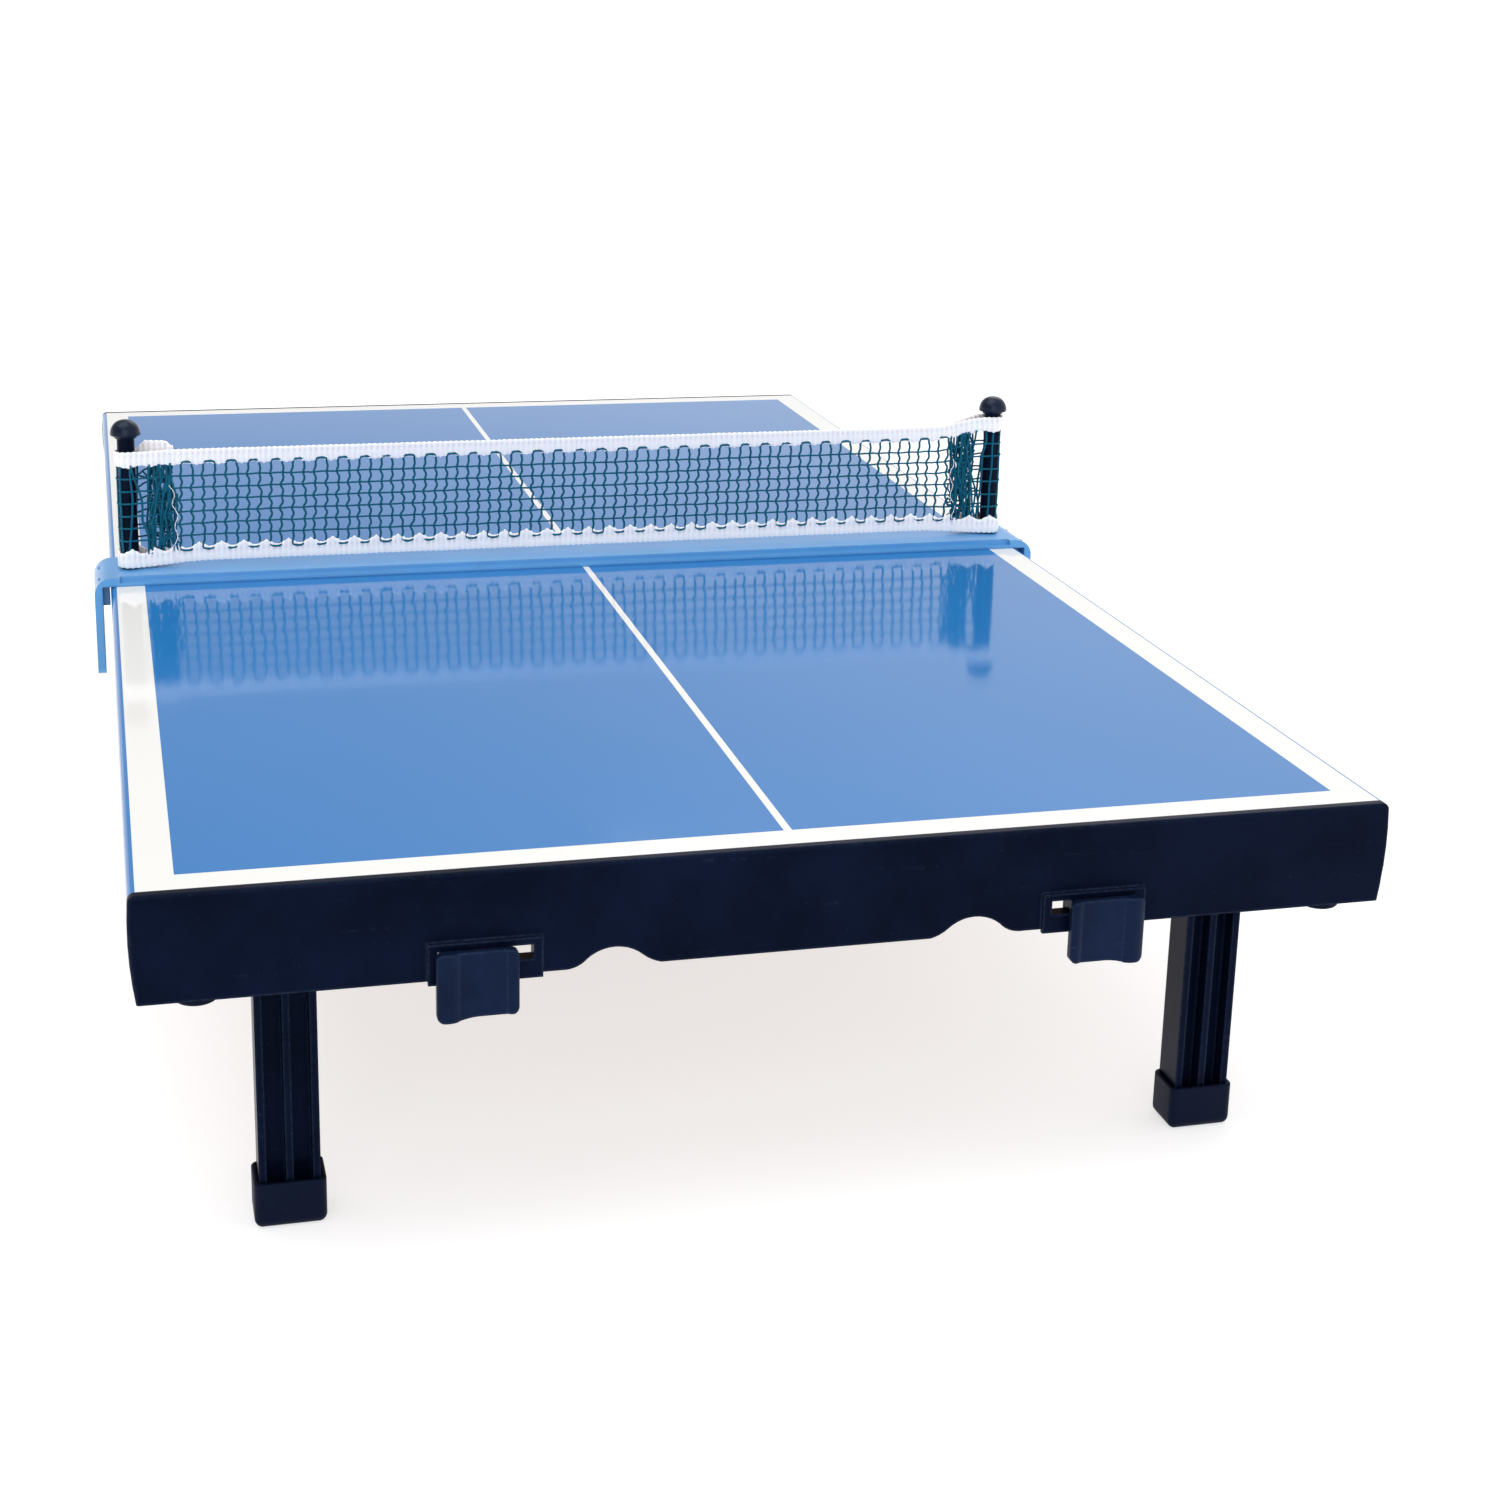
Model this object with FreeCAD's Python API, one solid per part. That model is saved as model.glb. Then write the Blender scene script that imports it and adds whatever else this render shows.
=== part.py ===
import FreeCAD, Part
import math
import os

# Folding mini table tennis table, in millimetres.
# +X runs across the table, +Y along it towards the far end, +Z up from the floor.
# Each half is drawn with the seam at Y = 0, and everything is moved by SEAM_Y when it is saved,
# so that the origin is on the floor at the middle of the whole table.

# Table top
TABLE_WIDTH = 335.0
TABLE_LENGTH = 600.0
TABLE_HEIGHT = 105.0
BOARD_THICK = 9.0
BOARD_TOP_ROUND = 2.0
BOARD_UNDER_ROUND = 0.8
SEAM_GAP = 0.4
PILOT_DEPTH = 6.5

# Rails under and around the boards
RAIL_HEIGHT = 28.4
RAIL_WALL = 3.0
RAIL_EDGE_ROUND = 0.8
RAIL_TAPER = 1.1
RAIL_BULGE = 0.3
RAIL_BULGE_DROP = 8.5
SHELF_THICK = 2.4
SHELF_DEPTH = 14.0
RAIL_RETURN_DEPTH = 16.0
RAIL_RETURN_WALL = 2.2
RAIL_SIDE_INSET = 1.4
RIB_THICK = 1.8
RIB_DEPTH = 9.0
RIB_CLEAR_OF_EDGE = 6.4
RIB_BESIDE_LEG = 17.4
SEAM_RAIL_WALL = 2.6
SEAM_RAIL_DEPTH = 15.8

# Finger notches in the lower edge of the end rails
NOTCH_FROM_SIDE = 119.5
NOTCH_HEIGHT = 5.2
# Each point: distance from the notch's middle towards the table's middle, share of NOTCH_HEIGHT
NOTCH_PROFILE = ((-13.0, 0.0), (-10.0, 0.13), (-7.4, 0.5), (-0.5, 1.0), (7.0, 0.46), (9.2, 0.18), (11.8, 0.0))

# Screws, pan headed
SCREW_R = 1.3
SCREW_HEAD_R = 2.5
SCREW_HEAD = 1.6
SCREW_CLEARANCE = 0.15
DRIVER_CLEARANCE = 0.3
PAN_ROUND_SHARE = 0.5
SMALL_SCREW_R = 1.0
SMALL_HEAD_R = 1.9
SMALL_HEAD = 0.9
END_SCREW_STATIONS = (15.0, 70.0)
SEAM_SCREW_STATIONS = (15.0, 75.0)
SEAM_SCREW_FROM_SIDE = 17.5

# Fold hinges
KNUCKLE_UNDER_RAIL = 0.4
HINGE_FROM_SIDE = 62.5
HINGE_LENGTH = 30.0
KNUCKLE_COUNT = 5
KNUCKLE_GAP = 0.3
KNUCKLE_R = 2.1
HINGE_PIN_R = 1.0
HINGE_PIN_HEAD_R = 1.6
HINGE_PIN_HEAD = 0.8
LEAF_THICK = 1.2
LEAF_DEPTH = 15.0
LEAF_CORNER_R = 2.0
LEAF_FROM_SEAM = 0.6
HINGE_SCREW_SPREAD = 10.0
HINGE_SCREW_BACK = 10.0
RUNNING_CLEARANCE = 0.06

# Legs and feet
LEG_FROM_SIDE = 38.1
LEG_FROM_END = 29.2
LEG_WIDTH = 16.0
LEG_DEPTH = 11.0
LEG_RIB = 2.0
LEG_GROOVE_DEPTH = 5.0
LEG_TOP_CLEAR = 0.5
GROOVE_BELOW_PIVOT = 6.0
LEG_PIN_R = 2.0
LEG_PIN_HEAD_R = 3.2
LEG_PIN_HEAD = 1.2
CAP_WALL = 1.4
CAP_HEIGHT = 13.0
CAP_FLOOR = 2.0
CAP_ROUND = 2.2
CAP_SIDE_ROUND = 0.7
CAP_FIT = 0.05
BRACKET_CHEEK = 3.0
BRACKET_CHEEK_GAP = 0.3
BRACKET_PLATE = 2.0
BRACKET_STOP = 2.0
BRACKET_EAR = 8.7
BRACKET_DEPTH = 9.0
BRACKET_DROP = 7.0
BRACKET_SCREW_INSET = 4.0

# Bumper pads
PAD_FROM_SIDE = 15.5
PAD_FROM_END = 7.0
PAD_R = 5.5
PAD_GAP_CLOSED = 0.4
PAD_ROUND = 1.0
PAD_STEM_R = 1.5
PAD_STEM = 4.0
BOSS_BEHIND_FACE = 1.0

# Sliding clips on the near rail and the catch teeth on the far rail
CLIP_FROM_SIDE = 83.5
CLIP_WIDTH = 20.7
CLIP_HEIGHT = 18.3
CLIP_BELOW_RAIL = 9.2
CLIP_THICK = 2.0
CLIP_RIDGE = 0.9
CLIP_BROAD_RIDGE = 5.6
CLIP_NARROW_RIDGE = 3.0
CLIP_NARROW_HEIGHT = 0.54
CLIP_CORNER_R = 1.8
CLIP_DIP = 1.0
CLIP_DIP_BULGE = 0.2
CLIP_DIP_FROM_SIDE = 5.2
CLIP_TRAVEL = 5.0
CLIP_CLEAR = 0.4
TRACK_THICK = 1.4
TRACK_BELOW_RAIL = 0.7
TRACK_HEIGHT = 10.9
TRACK_MARGIN = 1.65
SLOT_HEIGHT = 3.9
SLOT_BELOW_CLIP_TOP = 0.8
TONGUE_INSET = 1.35
TONGUE_CLEAR = 0.3
SLOT_END_CLEAR = 0.6
KEEPER_THICK = 1.5
KEEPER_HEIGHT = 7.5
TOOTH_GAP = 0.3
TOOTH_THICK = 1.4
TOOTH_INSET = 1.15
TOOTH_ROUND = 0.42
CATCH_REACH = 2.8
CATCH_ABOVE_EDGE = 0.1

# Net set
BAR_HALF_DEPTH = 15.0
BAR_THICK = 3.0
BAR_LIP = 2.5
BAR_LIP_THICK = 1.2
BAR_BEND_R = 6.0
BAR_CORNER_R = 4.0
SIDE_PLAY = 2.7
FLANGE_THICK = 2.8
FLANGE_DROP = 32.0
FLANGE_RIB = 2.0
FLANGE_RIB_HEIGHT = 8.0
FLANGE_RIB_CLEAR = 0.3
FLANGE_RIB_OFFSET = 8.0
POST_FROM_SIDE = 7.3
POST_R = 3.0
POST_HEIGHT = 46.6
SPIGOT_R = 2.0
SPIGOT_SHORT = 0.3
POST_PEG_R = 1.4
POST_PEG = 3.0
CAP_DOME_R = 5.2
CAP_DOME_HEIGHT = 6.4
CAP_CROWN_R = 0.5
CAP_RIM_ROUND = 0.6
NET_THICK = 0.9
NET_POST_GAP = 0.3
NET_ABOVE_BAR = 0.4
BOTTOM_TAPE = 5.4
TOP_TAPE = 5.5
NET_HEIGHT = 41.9

# Cuts run this far past the face they open, and two values this close are the same
OVERCUT = 1.0
SAME = 0.01

# Worked out from the sizes above
ARC_MID = 1 - math.sqrt(0.5)
HALF_WIDTH = TABLE_WIDTH / 2
HALF_LENGTH = TABLE_LENGTH / 2
BOARD_UNDER = TABLE_HEIGHT - BOARD_THICK
RAIL_BOTTOM = TABLE_HEIGHT - RAIL_HEIGHT
SHELF_UNDER = BOARD_UNDER - SHELF_THICK
FOLD_DROP = KNUCKLE_R + KNUCKLE_UNDER_RAIL
FOLD_Z = RAIL_BOTTOM - FOLD_DROP
RAIL_INSIDE_X = HALF_WIDTH - RAIL_SIDE_INSET
WALL_BACK_Y = -HALF_LENGTH + RAIL_WALL
LEG_X = HALF_WIDTH - LEG_FROM_SIDE
LEG_Y = -HALF_LENGTH + LEG_FROM_END
PIVOT_Z = BOARD_UNDER - BRACKET_PLATE - LEG_TOP_CLEAR - LEG_DEPTH / 2
HINGE_X = HALF_WIDTH - HINGE_FROM_SIDE
PAD_X = HALF_WIDTH - PAD_FROM_SIDE
PAD_Y = -HALF_LENGTH + PAD_FROM_END
BOSS_R = PAD_FROM_END - BOSS_BEHIND_FACE
PAD_PROUD = FOLD_DROP - PAD_GAP_CLOSED / 2
CLIP_X = HALF_WIDTH - CLIP_FROM_SIDE
NOTCH_X = HALF_WIDTH - NOTCH_FROM_SIDE
CLIP_LOW = RAIL_BOTTOM - CLIP_BELOW_RAIL
CLIP_TOP = CLIP_LOW + CLIP_HEIGHT
CLIP_BACK = CATCH_REACH + CLIP_CLEAR
CLIP_REACH = CLIP_BACK + CLIP_THICK + CLIP_RIDGE
SLOT_TOP = CLIP_TOP - SLOT_BELOW_CLIP_TOP
SLOT_LOW = SLOT_TOP - SLOT_HEIGHT
TONGUE_WIDTH = CLIP_WIDTH - 2 * TONGUE_INSET
TRACK_OUTER_REACH = CLIP_WIDTH / 2 + TRACK_MARGIN
TRACK_INNER_REACH = TRACK_OUTER_REACH + CLIP_TRAVEL
TOOTH_WIDTH = CLIP_TRAVEL - 2 * TOOTH_GAP
FIRST_TOOTH = -CLIP_WIDTH / 2 + TOOTH_INSET + TOOTH_WIDTH / 2
CLIP_TEETH = (FIRST_TOOTH, FIRST_TOOTH + 2 * CLIP_TRAVEL)
POST_X = HALF_WIDTH - POST_FROM_SIDE
BAR_TOP = TABLE_HEIGHT + BAR_THICK
SPIGOT_LENGTH = BAR_THICK - SPIGOT_SHORT
FLANGE_IN = HALF_WIDTH + SIDE_PLAY
FLANGE_OUT = FLANGE_IN + FLANGE_THICK
NET_LOW = BAR_TOP + NET_ABOVE_BAR
SEAM_Y = (CLIP_REACH - CATCH_REACH) / 2


def vec(x, y, z):
    return FreeCAD.Vector(x, y, z)


def block(x0, x1, y0, y1, z0, z1):
    """Box between two corners."""
    return Part.makeBox(x1 - x0, y1 - y0, z1 - z0, vec(x0, y0, z0))


def rod(radius, start, end):
    """Cylinder from one point to another."""
    way = end - start
    return Part.makeCylinder(radius, way.Length, start, way)


def headed_pin(centre, reach, shank_r, head_r, head):
    """Pin along X, reaching the same way to both sides of its centre, with a flat head at each end."""
    left = centre - vec(reach, 0, 0)
    right = centre + vec(reach, 0, 0)
    ends = [rod(head_r, left - vec(head, 0, 0), left), rod(head_r, right, right + vec(head, 0, 0))]
    return joined(rod(shank_r, left, right), ends)


def joined(first, others):
    return first.fuse(others).removeSplitter()


def mirrored_x(shape):
    return shape.mirror(vec(0, 0, 0), vec(1, 0, 0))


def mirrored_y(shape):
    return shape.mirror(vec(0, 0, 0), vec(0, 1, 0))


def rounded(shape, radius, wanted):
    """Fillet the edges whose middle point passes the test."""
    edges = [edge for edge in shape.Edges if wanted(edge.CenterOfMass)]
    return shape.makeFillet(radius, edges)


def near_to(value, target):
    return abs(value - target) < SAME


def save(name, shapes):
    """Write one node: a single solid, or a group of separate solids."""
    solids = []
    for shape in shapes:
        solids.extend(shape.Solids)
    result = solids[0] if len(solids) == 1 else Part.makeCompound(solids)
    moved = result.copy()
    moved.translate(vec(0, SEAM_Y, 0))
    moved.exportStep("parts/" + name + ".step")
    print(name, len(solids), round(moved.Volume, 1), moved.isValid())


def both_halves(name, shapes):
    """Save a near piece and its mirror image on the far half."""
    save("near_" + name, shapes)
    save("far_" + name, [mirrored_y(shape) for shape in shapes])


# Screws ------------------------------------------------------------------------------------

def upward_screw(x, y, seat_z, tip_z, shank_r, head_r, head):
    """Screw driven from below, head under the seat."""
    shank = rod(shank_r, vec(x, y, seat_z), vec(x, y, tip_z))
    pan = rod(head_r, vec(x, y, seat_z - head), vec(x, y, seat_z))
    pan = rounded(pan, head * PAN_ROUND_SHARE, lambda c: near_to(c.z, seat_z - head) and near_to(c.x, x))
    return joined(shank, [pan])


def rail_screw_places():
    """Points on the two shelves of the near half where a screw goes up into the board."""
    end_y = WALL_BACK_Y + SHELF_DEPTH / 2
    seam_y = -(SEAM_GAP / 2 + SEAM_RAIL_WALL + (SEAM_RAIL_DEPTH - SEAM_RAIL_WALL) / 2)
    end_x = list(END_SCREW_STATIONS) + [LEG_X - BRACKET_EAR]
    seam_x = list(SEAM_SCREW_STATIONS) + [HALF_WIDTH - SEAM_SCREW_FROM_SIDE]
    places = []
    for side in (-1, 1):
        places.extend([(side * x, end_y) for x in end_x])
        places.extend([(side * x, seam_y) for x in seam_x])
    return places


def bracket_screw_places():
    reach = LEG_WIDTH / 2 + BRACKET_CHEEK_GAP + BRACKET_CHEEK + BRACKET_EAR - BRACKET_SCREW_INSET
    places = []
    for side in (-1, 1):
        for step in (-reach, reach):
            places.append((side * LEG_X + step, LEG_Y))
    return places


def hinge_screw_places():
    places = []
    for side in (-1, 1):
        for step in (-HINGE_SCREW_SPREAD, HINGE_SCREW_SPREAD):
            places.append((side * HINGE_X + step, -HINGE_SCREW_BACK))
    return places


def rail_screws():
    tip = BOARD_UNDER + PILOT_DEPTH
    return [upward_screw(x, y, SHELF_UNDER, tip, SCREW_R, SCREW_HEAD_R, SCREW_HEAD)
            for x, y in rail_screw_places()]


def bracket_screws():
    tip = BOARD_UNDER + PILOT_DEPTH
    seat = BOARD_UNDER - BRACKET_PLATE
    return [upward_screw(x, y, seat, tip, SCREW_R, SCREW_HEAD_R, SCREW_HEAD)
            for x, y in bracket_screw_places()]


def hinge_screws():
    seat = RAIL_BOTTOM - LEAF_THICK
    tip = RAIL_BOTTOM + SHELF_THICK
    return [upward_screw(x, y, seat, tip, SMALL_SCREW_R, SMALL_HEAD_R, SMALL_HEAD)
            for x, y in hinge_screw_places()]


# Boards ------------------------------------------------------------------------------------

def board():
    panel = block(-HALF_WIDTH, HALF_WIDTH, WALL_BACK_Y, -SEAM_GAP / 2, BOARD_UNDER, TABLE_HEIGHT)
    panel = rounded(panel, BOARD_TOP_ROUND,
                    lambda c: near_to(abs(c.x), HALF_WIDTH) and near_to(c.z, TABLE_HEIGHT))
    panel = rounded(panel, BOARD_UNDER_ROUND,
                    lambda c: near_to(abs(c.x), HALF_WIDTH) and near_to(c.z, BOARD_UNDER))
    pilots = [rod(SCREW_R, vec(x, y, BOARD_UNDER), vec(x, y, BOARD_UNDER + PILOT_DEPTH))
              for x, y in rail_screw_places() + bracket_screw_places()]
    return panel.cut(pilots)


# End rails ---------------------------------------------------------------------------------

def arc_through(points):
    """Edges of the arcs that run through an odd list of (x, z) points, three at a time."""
    at = [vec(x, -HALF_LENGTH, z) for x, z in points]
    return [Part.Arc(at[i], at[i + 1], at[i + 2]).toShape() for i in range(0, len(at) - 2, 2)]


def edge_between(start, end):
    """Straight edge between two (x, z) points in the wall's front face."""
    first, last = (vec(x, -HALF_LENGTH, z) for x, z in (start, end))
    return Part.LineSegment(first, last).toShape()


def notch_points(side):
    """Bell shaped notch from left to right, gentle on its outer side and tighter on its inner side."""
    return sorted((side * (NOTCH_X - inward), RAIL_BOTTOM + share * NOTCH_HEIGHT)
                  for inward, share in NOTCH_PROFILE)


def rail_end_points():
    """Right end of the wall: tapered towards the bottom and a little bulged near the top."""
    top_r = BOARD_TOP_ROUND
    return [(HALF_WIDTH - RAIL_TAPER, RAIL_BOTTOM),
            (HALF_WIDTH + RAIL_BULGE, TABLE_HEIGHT - RAIL_BULGE_DROP),
            (HALF_WIDTH, TABLE_HEIGHT - top_r),
            (HALF_WIDTH - top_r * ARC_MID, TABLE_HEIGHT - top_r * ARC_MID),
            (HALF_WIDTH - top_r, TABLE_HEIGHT)]


def rail_wall():
    right = rail_end_points()
    left = [(-x, z) for x, z in reversed(right)]
    low_left = notch_points(-1)
    low_right = notch_points(1)
    edges = arc_through(left) + arc_through(low_left) + arc_through(low_right) + arc_through(right)
    edges.append(edge_between(left[-1], low_left[0]))
    edges.append(edge_between(low_left[-1], low_right[0]))
    edges.append(edge_between(low_right[-1], right[0]))
    edges.append(edge_between(right[-1], left[0]))
    outline = Part.Wire(Part.sortEdges(edges)[0])
    wall = Part.Face(outline).extrude(vec(0, RAIL_WALL, 0))
    return rounded(wall, RAIL_EDGE_ROUND,
                   lambda c: near_to(c.y, -HALF_LENGTH) and near_to(c.z, TABLE_HEIGHT))


def end_rail_inside():
    """Shelf under the board, side returns, ribs and the two pad bosses, all behind the wall."""
    shelf = block(-RAIL_INSIDE_X, RAIL_INSIDE_X, WALL_BACK_Y, WALL_BACK_Y + SHELF_DEPTH,
                  SHELF_UNDER, BOARD_UNDER)
    pieces = [shelf]
    for side in (-1, 1):
        outer = side * RAIL_INSIDE_X
        inner = side * (RAIL_INSIDE_X - RAIL_RETURN_WALL)
        pieces.append(block(min(outer, inner), max(outer, inner), WALL_BACK_Y,
                            WALL_BACK_Y + RAIL_RETURN_DEPTH, RAIL_BOTTOM, BOARD_UNDER))
        boss_low = vec(side * PAD_X, PAD_Y, RAIL_BOTTOM)
        pieces.append(rod(BOSS_R, boss_low, boss_low + vec(0, 0, SHELF_UNDER - RAIL_BOTTOM)))
    rib_low = RAIL_BOTTOM + RIB_CLEAR_OF_EDGE
    for x in (0.0, RIB_BESIDE_LEG - LEG_X, LEG_X - RIB_BESIDE_LEG, -LEG_X, LEG_X):
        pieces.append(block(x - RIB_THICK / 2, x + RIB_THICK / 2, WALL_BACK_Y,
                            WALL_BACK_Y + RIB_DEPTH, rib_low, SHELF_UNDER))
    return pieces


def end_rail_holes():
    end_y = WALL_BACK_Y + SHELF_DEPTH / 2
    clear_r = SCREW_R + SCREW_CLEARANCE
    holes = [rod(clear_r, vec(x, y, SHELF_UNDER), vec(x, y, BOARD_UNDER))
             for x, y in rail_screw_places() if near_to(y, end_y)]
    for side in (-1, 1):
        low = vec(side * PAD_X, PAD_Y, RAIL_BOTTOM)
        holes.append(rod(PAD_STEM_R, low, low + vec(0, 0, PAD_STEM)))
    return holes


def plain_end_rail():
    return joined(rail_wall(), end_rail_inside()).cut(end_rail_holes())


def clip_track(side):
    """Raised plate on the wall that a clip slides along; side is -1 on the left, 1 on the right."""
    outer = side * (CLIP_X + TRACK_OUTER_REACH)
    inner = side * (CLIP_X - TRACK_INNER_REACH)
    low = RAIL_BOTTOM - TRACK_BELOW_RAIL
    return block(min(outer, inner), max(outer, inner), -HALF_LENGTH - TRACK_THICK, -HALF_LENGTH,
                 low, low + TRACK_HEIGHT)


def clip_slot(side):
    """Slot through track and wall, open towards the middle by the clip's travel."""
    outer = side * (CLIP_X + TONGUE_WIDTH / 2 + SLOT_END_CLEAR)
    inner = side * (CLIP_X - TONGUE_WIDTH / 2 - CLIP_TRAVEL - SLOT_END_CLEAR)
    return block(min(outer, inner), max(outer, inner), -HALF_LENGTH - TRACK_THICK - OVERCUT,
                 WALL_BACK_Y + OVERCUT, SLOT_LOW, SLOT_TOP)


def near_end_rail():
    rail = joined(plain_end_rail(), [clip_track(-1), clip_track(1)])
    return rail.cut([clip_slot(-1), clip_slot(1)])


def catch_tooth(x):
    low = RAIL_BOTTOM + CATCH_ABOVE_EDGE
    tooth = block(x - TOOTH_WIDTH / 2, x + TOOTH_WIDTH / 2, HALF_LENGTH - RAIL_WALL / 2,
                  HALF_LENGTH + CATCH_REACH, low, low + TOOTH_THICK)
    return rounded(tooth, TOOTH_ROUND, lambda c: near_to(c.y, HALF_LENGTH + CATCH_REACH))


def far_end_rail():
    """Mirror image of the near rail's body, with catch teeth where the clips close over it."""
    rail = mirrored_y(plain_end_rail())
    teeth = []
    for side in (-1, 1):
        for place in CLIP_TEETH:
            teeth.append(catch_tooth(side * (CLIP_X - place - CLIP_TRAVEL)))
    return joined(rail, teeth)


# Seam rails --------------------------------------------------------------------------------

def seam_rail():
    """Channel under the inner edge of a board, open away from the seam."""
    front = -SEAM_GAP / 2
    web = block(-RAIL_INSIDE_X, RAIL_INSIDE_X, front - SEAM_RAIL_WALL, front, RAIL_BOTTOM, BOARD_UNDER)
    shelf = block(-RAIL_INSIDE_X, RAIL_INSIDE_X, front - SEAM_RAIL_DEPTH, front, SHELF_UNDER, BOARD_UNDER)
    flange = block(-RAIL_INSIDE_X, RAIL_INSIDE_X, front - SEAM_RAIL_DEPTH, front,
                   RAIL_BOTTOM, RAIL_BOTTOM + SHELF_THICK)
    ends = []
    for x in (-RAIL_INSIDE_X, RAIL_INSIDE_X - RAIL_RETURN_WALL):
        ends.append(block(x, x + RAIL_RETURN_WALL, front - SEAM_RAIL_DEPTH, front, RAIL_BOTTOM, BOARD_UNDER))
    rail = joined(web, [shelf, flange] + ends)
    clear_r = SCREW_R + SCREW_CLEARANCE
    holes = [rod(clear_r, vec(x, y, SHELF_UNDER), vec(x, y, BOARD_UNDER))
             for x, y in rail_screw_places() if y > -SEAM_RAIL_DEPTH]
    holes += [rod(SMALL_SCREW_R, vec(x, y, RAIL_BOTTOM), vec(x, y, RAIL_BOTTOM + SHELF_THICK))
              for x, y in hinge_screw_places()]
    access_r = SCREW_HEAD_R + DRIVER_CLEARANCE
    holes += [rod(access_r, vec(x, y, RAIL_BOTTOM), vec(x, y, RAIL_BOTTOM + SHELF_THICK))
              for x, y in rail_screw_places() if y > -SEAM_RAIL_DEPTH]
    return rail.cut(holes)


# Fold hinges -------------------------------------------------------------------------------

def knuckle_span(index, centre_x):
    """Start and end of one knuckle along the hinge."""
    pitch = HINGE_LENGTH / KNUCKLE_COUNT
    start = centre_x - HINGE_LENGTH / 2 + index * pitch
    return start + KNUCKLE_GAP / 2, start + pitch - KNUCKLE_GAP / 2


def hinge_leaf(centre_x, own, bore_r):
    """Near leaf with the knuckles whose index is in own, cut clear of the others."""
    low, top = RAIL_BOTTOM - LEAF_THICK, RAIL_BOTTOM
    plate = block(centre_x - HINGE_LENGTH / 2, centre_x + HINGE_LENGTH / 2, -LEAF_DEPTH, -LEAF_FROM_SEAM,
                  low, top)
    plate = rounded(plate, LEAF_CORNER_R, lambda c: near_to(c.y, -LEAF_DEPTH)
                    and near_to(abs(c.x - centre_x), HINGE_LENGTH / 2))
    barrels = []
    gaps = []
    for index in range(KNUCKLE_COUNT):
        start, end = knuckle_span(index, centre_x)
        if index in own:
            barrels.append(rod(KNUCKLE_R, vec(start, 0, FOLD_Z), vec(end, 0, FOLD_Z)))
        else:
            gaps.append(block(start - KNUCKLE_GAP, end + KNUCKLE_GAP, -KNUCKLE_R - LEAF_FROM_SEAM, OVERCUT,
                              low - OVERCUT, top + OVERCUT))
    leaf = joined(plate.cut(gaps), barrels)
    holes = [rod(bore_r, vec(centre_x - HINGE_LENGTH, 0, FOLD_Z), vec(centre_x + HINGE_LENGTH, 0, FOLD_Z))]
    for x, y in hinge_screw_places():
        holes.append(rod(SMALL_SCREW_R + SCREW_CLEARANCE, vec(x, y, low - OVERCUT), vec(x, y, top + OVERCUT)))
    return leaf.cut(holes)


def near_leaf(centre_x):
    own = range(0, KNUCKLE_COUNT, 2)
    return hinge_leaf(centre_x, own, HINGE_PIN_R)


def far_leaf(centre_x):
    own = range(1, KNUCKLE_COUNT, 2)
    return mirrored_y(hinge_leaf(centre_x, own, HINGE_PIN_R + RUNNING_CLEARANCE))


def hinge_pin(centre_x):
    reach = HINGE_LENGTH / 2 - KNUCKLE_GAP / 2
    return headed_pin(vec(centre_x, 0, FOLD_Z), reach, HINGE_PIN_R, HINGE_PIN_HEAD_R, HINGE_PIN_HEAD)


# Legs --------------------------------------------------------------------------------------

def leg(x):
    """Ribbed leg with its grooves on the side that faces the table's end."""
    half_w = LEG_WIDTH / 2
    half_d = LEG_DEPTH / 2
    post = block(x - half_w, x + half_w, LEG_Y - half_d, LEG_Y + half_d, CAP_FLOOR, PIVOT_Z)
    head = rod(half_d, vec(x - half_w, LEG_Y, PIVOT_Z), vec(x + half_w, LEG_Y, PIVOT_Z))
    body = joined(post, [head])
    groove_w = (LEG_WIDTH - 3 * LEG_RIB) / 2
    cuts = [rod(LEG_PIN_R + RUNNING_CLEARANCE, vec(x - LEG_WIDTH, LEG_Y, PIVOT_Z),
                vec(x + LEG_WIDTH, LEG_Y, PIVOT_Z))]
    for start in (x - half_w + LEG_RIB, x + LEG_RIB / 2):
        cuts.append(block(start, start + groove_w,
                          LEG_Y - half_d - OVERCUT, LEG_Y - half_d + LEG_GROOVE_DEPTH,
                          CAP_FLOOR - OVERCUT, PIVOT_Z - GROOVE_BELOW_PIVOT))
    return body.cut(cuts)


def foot_cap(x):
    """Open topped cap that the leg stands in, rounded at the floor."""
    half_w = LEG_WIDTH / 2 + CAP_FIT + CAP_WALL
    half_d = LEG_DEPTH / 2 + CAP_FIT + CAP_WALL
    cup = block(x - half_w, x + half_w, LEG_Y - half_d, LEG_Y + half_d, 0, CAP_HEIGHT)
    cup = rounded(cup, CAP_ROUND, lambda c: near_to(c.z, 0) and near_to(abs(c.x - x), half_w))
    cup = rounded(cup, CAP_SIDE_ROUND, lambda c: near_to(abs(c.y - LEG_Y), half_d)
                  and CAP_ROUND < c.z < CAP_HEIGHT - SAME)
    room_w = LEG_WIDTH / 2 + CAP_FIT
    room_d = LEG_DEPTH / 2 + CAP_FIT
    room = block(x - room_w, x + room_w, LEG_Y - room_d, LEG_Y + room_d, CAP_FLOOR,
                 CAP_HEIGHT + OVERCUT)
    return cup.cut(room)


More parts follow.
